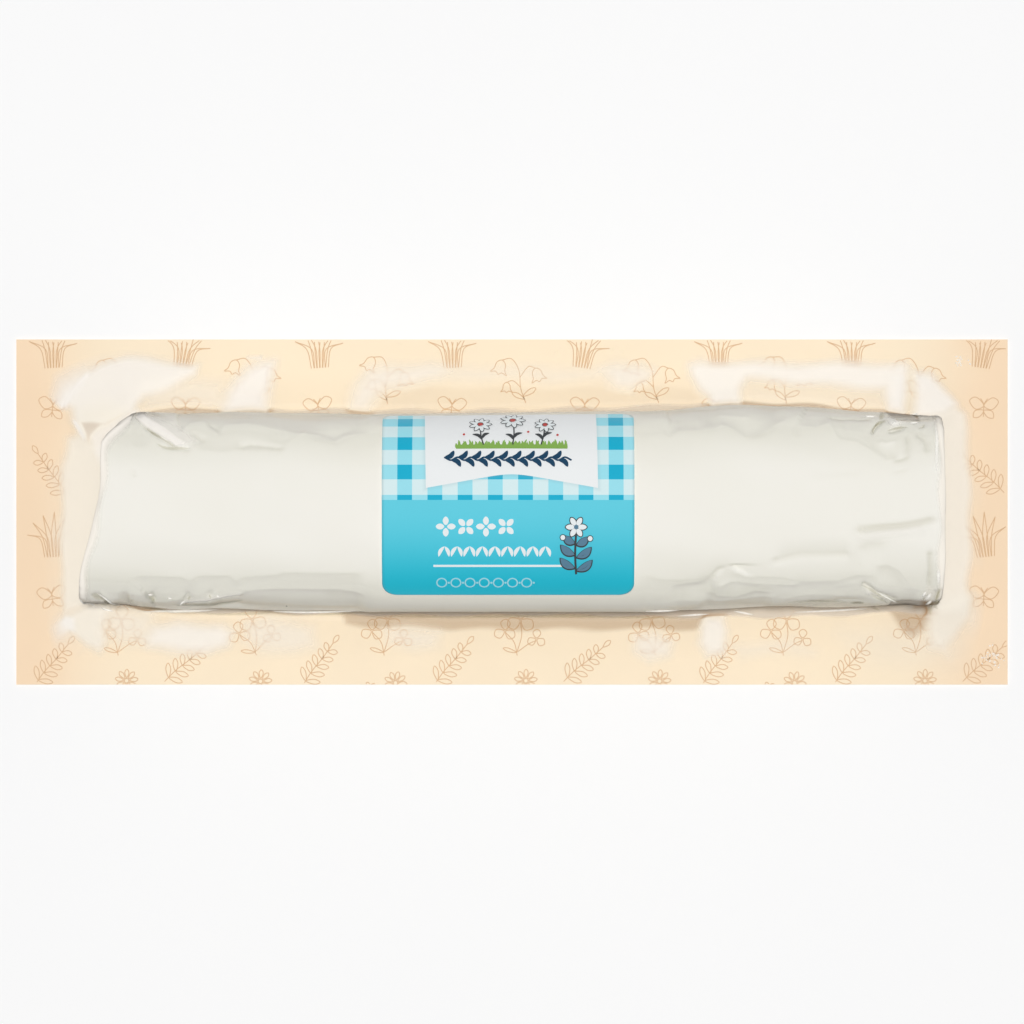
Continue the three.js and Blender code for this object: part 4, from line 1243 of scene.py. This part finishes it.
def label_rows():
    """Rows of the label from front to back: place along the arc, and half width."""
    turn = np.linspace(0, math.pi / 2, 8)
    near, inset = 1 - np.cos(turn), 1 - np.sin(turn)
    front, back = LABEL_FRONT_CORNER, LABEL_BACK_CORNER
    middle = np.linspace(front, LABEL_ARC - back, round(LABEL_ARC / LABEL_STEP))[1:-1]
    places = np.concatenate([front * near, middle, (LABEL_ARC - back * near)[::-1]])
    insets = np.concatenate([front * inset, 0 * middle, back * inset[::-1]])
    return places - LABEL_FRONT_ARC, LABEL_HALF_WIDTH - insets


def build_label():
    places, halves = label_rows()
    columns = round(2 * LABEL_HALF_WIDTH / LABEL_STEP) + 1
    across = np.linspace(-1, 1, columns)
    u = (halves[:, None] * across).ravel()
    v = (places[:, None] + 0 * across).ravel()
    points = np.vstack([on_label(u, v, LABEL_LIFT + LABEL_THICKNESS), on_label(u, v, LABEL_LIFT)])
    grid = np.arange(len(u)).reshape(-1, columns)
    top = quads(grid.T)
    under = quads(grid + len(u))
    border = np.concatenate([grid[0], grid[1:, -1], grid[-1, -2::-1], grid[-2:0:-1, 0]])
    edge = quads(np.stack([border, border + len(u)])[:, [*range(len(border)), 0]])
    materials = [label_material(), ink_material("label paper", (0.83, 0.84, 0.83), 0.7, 0.04)]
    kinds = [0] * len(top) + [1] * (len(under) + len(edge))
    made = make_mesh("label_sheet", points, top + under + edge, materials, kinds)
    flat = np.column_stack([np.tile(u, 2), np.tile(v, 2)])
    sheet = made.data.uv_layers.new(name="label_plane")
    corners = np.empty(len(made.data.loops), int)
    made.data.loops.foreach_get("vertex_index", corners)
    sheet.uv.foreach_set("vector", (flat[corners] / LABEL_ARC + 0.5).ravel())
    return made


def stripes(tree, value, first):
    """1 in dark stripes and 0 between them, half and half."""
    turns = maths(tree, "DIVIDE", maths(tree, "SUBTRACT", value, first), CHECK_PITCH)
    return maths(tree, "LESS_THAN", maths(tree, "FRACT", turns), 0.49)


def label_material():
    """The label's print, drawn on its flat plane: gingham, banner with its soft shadow, and field."""
    material, tree, surface = new_material("label print")
    plane = node(tree, "UVMap", uv_map="label_plane").outputs[0]
    parts = node(tree, "SeparateXYZ", {0: plane}).outputs
    u, v = (maths(tree, "MULTIPLY", maths(tree, "SUBTRACT", parts[axis], 0.5), LABEL_ARC) for axis in "XY")
    columns = stripes(tree, u, CHECK_FIRST_COLUMN)
    rows = stripes(tree, v, CHECK_FIRST_ROW)
    either, both = maths(tree, "MAXIMUM", columns, rows), maths(tree, "MULTIPLY", columns, rows)
    check = blend_colours(tree, either, (0.69, 0.85, 0.87), (0.33, 0.745, 0.85))
    check = blend_colours(tree, both, check, (0.01, 0.43, 0.635))
    depth = stepped(tree, v, -LABEL_FRONT_ARC, FIELD_TOP)
    field = blend_colours(tree, depth, (0.007, 0.48, 0.63), (0.125, 0.62, 0.76))
    above_field = maths(tree, "GREATER_THAN", v, FIELD_TOP)
    colour = blend_colours(tree, above_field, field, check)
    middle = maths(tree, "MULTIPLY_ADD", v, -0.018, 0.83)
    aside = maths(tree, "ABSOLUTE", maths(tree, "SUBTRACT", u, middle))
    inward = maths(tree, "SUBTRACT", 1, maths(tree, "DIVIDE", aside, BANNER_HALF_WIDTH))
    arch = maths(tree, "SMOOTH_MIN", maths(tree, "MULTIPLY", inward, 1.12), 1, 0.25)
    foot = maths(tree, "MULTIPLY_ADD", arch, BANNER_NOTCH - BANNER_TIP, BANNER_TIP)
    side_gap = maths(tree, "SUBTRACT", BANNER_HALF_WIDTH, aside)
    gap = maths(tree, "MINIMUM", side_gap, maths(tree, "SUBTRACT", v, foot))
    shade = maths(tree, "MULTIPLY", stepped(tree, gap, -0.9, 0.1), 0.22)
    shade = maths(tree, "MULTIPLY", shade, above_field)
    colour = blend_colours(tree, shade, colour, (0.25, 0.4, 0.45))
    colour = blend_colours(tree, maths(tree, "GREATER_THAN", gap, 0), colour, (0.845, 0.865, 0.87))
    ink = place_group(tree, print_unevenness, Color=colour, Cloud_Size=0.012, Strength=0.035)
    feed(tree, surface, principled(tree, {
        "Base Color": ink["Color"],
        "Roughness": maths(tree, "ADD", ink["Roughness Change"], 0.42),
        "Normal": bumpy(tree, cloudy(tree, plane, 160, 3), 0.1, 0.0001),
    }))
    return material


label_sheet = build_label()
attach(label_sheet, "root")
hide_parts("label")


# Print on the label. Meadow motifs in seven inks, printed flat on the paper: daisies over a strip of grass
# and a navy garland on the banner, and white rows, a ruled line and a slate-blue sprig on the field. Here
# each stroke is a flat ribbon that follows the label's bend.
PRINT_LIFT = LABEL_LIFT + LABEL_THICKNESS + 0.025
PRINT_STEP = 0.001
GRASS_FOOT = 12.45
INKS = {
    "white": (0.80, 0.85, 0.86),
    "pale blue": (0.36, 0.68, 0.76),
    "navy": (0.011, 0.055, 0.115),
    "grass green": (0.24, 0.43, 0.09),
    "slate": (0.105, 0.215, 0.31),
    "red": (0.50, 0.035, 0.025),
    "charcoal": (0.05, 0.055, 0.06),
}


def brush(ink, points, width, closed=False, steps=5):
    """A stroke of even width along a smooth line."""
    return ink, smooth_line(points, closed, steps), width, closed


def lens(ink, start, end, width, bend=0.0, fullness=0.8):
    """A leaf or petal: a stroke that swells from a point and closes to a point."""
    start, end = np.array(start, float), np.array(end, float)
    middle = (start + end) / 2 + bend * np.array((start[1] - end[1], end[0] - start[0]))
    line = smooth_line([start, middle, end], steps=6)
    share = np.linspace(0, 1, len(line))
    return ink, line, width * np.sin(math.pi * share) ** fullness, False


def dot(ink, centre, size):
    """A round spot."""
    share = np.linspace(-1, 1, 11)
    line = np.column_stack([centre[0] + share * size / 2, np.full(11, float(centre[1]))])
    return ink, line, size * np.sqrt(1 - share**2) + 0.001, False


def spray(ink, centre, count, near, far, width, turn=0.0):
    """Petals about a middle."""
    centre = np.array(centre, float)
    ends = [turned([(near, 0), (far, 0)], turn + k * math.tau / count) + centre for k in range(count)]
    return [lens(ink, a, b, width, fullness=0.6) for a, b in ends]


def outlined_daisy(centre, size, foot, lean):
    """A white daisy with charcoal outlines, a red heart and a leafy stem."""
    middle = (foot + lean, (centre[1] + GRASS_FOOT) / 2)
    strokes = [brush("charcoal", [(foot, GRASS_FOOT + 0.8), middle, centre], 0.26)]
    for side, low, high in ((1, 14.6, 16), (-1, 14.3, 15.7)):
        tip = (foot + lean + 1.7 * side, high)
        strokes.append(lens("charcoal", (foot + lean * 0.5, low), tip, 0.7, 0.2 * side))
    strokes += spray("charcoal", centre, 9, 0.1, size + 0.2, size * 0.52)
    strokes += spray("white", centre, 9, 0.3, size, size * 0.36)
    return [*strokes, dot("charcoal", centre, size * 0.62), dot("red", centre, size * 0.46)]


def banner_art():
    strokes = [brush("grass green", [(-10.1, 12.85), (0.8, 12.9), (11.5, 12.85)], 0.9, steps=12)]
    for k in range(74):
        x = -10.1 + k * 0.296
        tall = 0.9 + 0.55 * abs(math.sin(k * 2.4)) + (0.3 if k % 7 == 3 else 0)
        tip = (x + 0.45 * math.sin(k * 1.7), GRASS_FOOT + 0.3 + tall)
        strokes.append(lens("grass green", (x, GRASS_FOOT), tip, 0.42, 0.1 * math.sin(k * 3.1), 0.6))
    strokes += outlined_daisy((-5.4, 18.5), 2.15, -4.8, -0.5)
    strokes += outlined_daisy((0.9, 19.8), 2.4, 0.9, 0.25)
    strokes += outlined_daisy((7.2, 18.2), 2.0, 6.4, 0.5)
    strokes += [dot("red", (-8.6, 15.6), 0.5), dot("red", (3.9, 16.2), 0.5), dot("red", (9.6, 15.4), 0.5)]
    wave = [(-12.4 + 1.3 * k, 10.3 + 0.3 * math.cos(k * math.pi)) for k in range(20)]
    strokes.append(brush("navy", wave, 0.36))
    for k in range(9):
        x = -12.4 + 2.6 * k
        strokes.append(lens("navy", (x, 10.5), (x + 1.9, 11.95), 1.0, -0.2, 0.6))
        strokes.append(lens("navy", (x + 1.3, 10.1), (x + 3.2, 8.7), 1.0, 0.2, 0.6))
    return strokes


def field_art():
    strokes = []
    for k in range(4):
        strokes += spray("white", (-12.1 + 3.9 * k, -2.8), 4, 0.25, 1.95, 1.15, math.pi / 4 * (k % 2))
    for k in range(9):
        x = -13.5 + 2.45 * k
        strokes.append(lens("white", (x, -8.6), (x + 1.15, -6.6), 0.72, 0.1))
        strokes.append(lens("white", (x + 2.05, -8.6), (x + 1.2, -6.6), 0.72, -0.1))
    strokes.append(brush("white", [(-14.5, -10.39), (-2, -10.39), (11.2, -10.39)], 0.42, steps=12))
    for x in -12.9 + 2.75 * np.arange(7):
        ring = [turned([(0.95, 0)], j * math.tau / 8)[0] + (x, -13.9) for j in range(8)]
        strokes.append(brush("pale blue", ring, 0.28, closed=True, steps=3))
        strokes.append(dot("pale blue", (x + 1.38, -13.9), 0.45))
    strokes.append(brush("charcoal", [(13.2, -12.1), (13, -8), (13.2, -3.4)], 0.4))
    leaves = ((-11.4, 1, 3.6), (-10.9, -1, 3.4), (-8.8, 1, 3.4), (-8.3, -1, 3.3), (-6.4, 1, 2.7),
              (-6.1, -1, 2.6))
    for foot, side, length in leaves:
        x, y = 13.1 + side * length * 0.92, foot + length * 0.62
        start = (13.1 + 0.25 * side, foot + 0.1)
        strokes.append(lens("charcoal", (13.1, foot - 0.1), (x, y), 1.75, -0.1 * side))
        strokes.append(lens("slate", start, (x - 0.2 * side, y - 0.1), 1.4, -0.1 * side))
    strokes += spray("charcoal", (13.2, -2.9), 6, 0.1, 2.25, 1.35)
    strokes += spray("white", (13.2, -2.9), 6, 0.3, 2.05, 1)
    strokes.append(dot("slate", (13.2, -2.9), 0.9))
    for place in ((10.6, -4.9), (15.9, -5.1)):
        strokes += [dot("charcoal", place, 1.25), dot("white", place, 0.95)]
    return strokes


def print_on_label(strokes):
    """One mesh of all the strokes, each a hair above the one before it."""
    pieces, kinds, lifts = [], [], []
    for k, (ink, line, width, closed) in enumerate(strokes):
        points, faces = strip(line, width, closed, across=2)
        pieces.append((points, faces))
        kinds += [list(INKS).index(ink)] * len(faces)
        lifts += [PRINT_LIFT + PRINT_STEP * k] * len(points)
    flat, faces = gather(pieces)
    materials = [ink_material(name + " ink", colour, 0.42, 0.05) for name, colour in INKS.items()]
    return make_mesh("label_print", on_label(*flat.T, np.array(lifts)), faces, materials, kinds)


label_print = print_on_label(banner_art() + field_art())
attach(label_print, "root")


# Studio: a plain white floor, one small light far overhead that leans a little to the back, a weak large
# one for the gloss, and a dim surround. The camera looks straight down, as in the photograph.
VIEW_WIDTH = 204.8
CAMERA_HEIGHT = 1200.0
SENSOR = 36.0
FLOOR_HALF_SIZE = 1500.0
FLOOR_DROP = 0.05


def build_floor():
    half, drop = FLOOR_HALF_SIZE, -FLOOR_DROP
    points = [(-half, -half, drop), (half, -half, drop), (half, half, drop), (-half, half, drop)]
    material, tree, surface = new_material("studio floor")
    colour = blend_colours(tree, cloudy(tree, place_on(tree), 6), (0.94, 0.94, 0.94), (0.96, 0.96, 0.96))
    feed(tree, surface, principled(tree, {"Base Color": colour, "Roughness": 0.9, "Specular IOR Level": 0}))
    return make_mesh("floor", points, [(0, 1, 2, 3)], [material])


def add_light(name, place, size, power):
    light = bpy.data.lights.new(name, "AREA")
    light.shape = "RECTANGLE"
    light.size, light.size_y = size
    light.energy = power
    made = bpy.data.objects.new(name, light)
    made.location = place
    made.rotation_mode = "QUATERNION"
    made.rotation_quaternion = (-Vector(place)).to_track_quat("-Z", "Y")
    made.visible_camera = False
    bpy.context.scene.collection.objects.link(made)
    return made


build_floor()
key = add_light("key light", (0.0, 0.12, 3.0), (0.3, 0.3), 72.0)
key.visible_glossy = False
add_light("overhead softbox", (0.0, 0.1, 1.0), (1.2, 0.9), 0.6)
world = bpy.data.worlds.new("studio")
world.use_nodes = True
surround = world.node_tree.nodes["Background"].inputs
surround["Color"].default_value = (1, 1, 1, 1)
surround["Strength"].default_value = 0.15
bpy.context.scene.world = world
bpy.context.scene.view_settings.view_transform = "Standard"

camera_data = bpy.data.cameras.new("camera")
camera_data.sensor_width = SENSOR
camera_data.lens = SENSOR * CAMERA_HEIGHT / VIEW_WIDTH
camera_data.clip_start = 0.1
camera = bpy.data.objects.new("camera", camera_data)
camera.location = (0, 0, CAMERA_HEIGHT * MM)
bpy.context.scene.collection.objects.link(camera)
bpy.context.scene.camera = camera
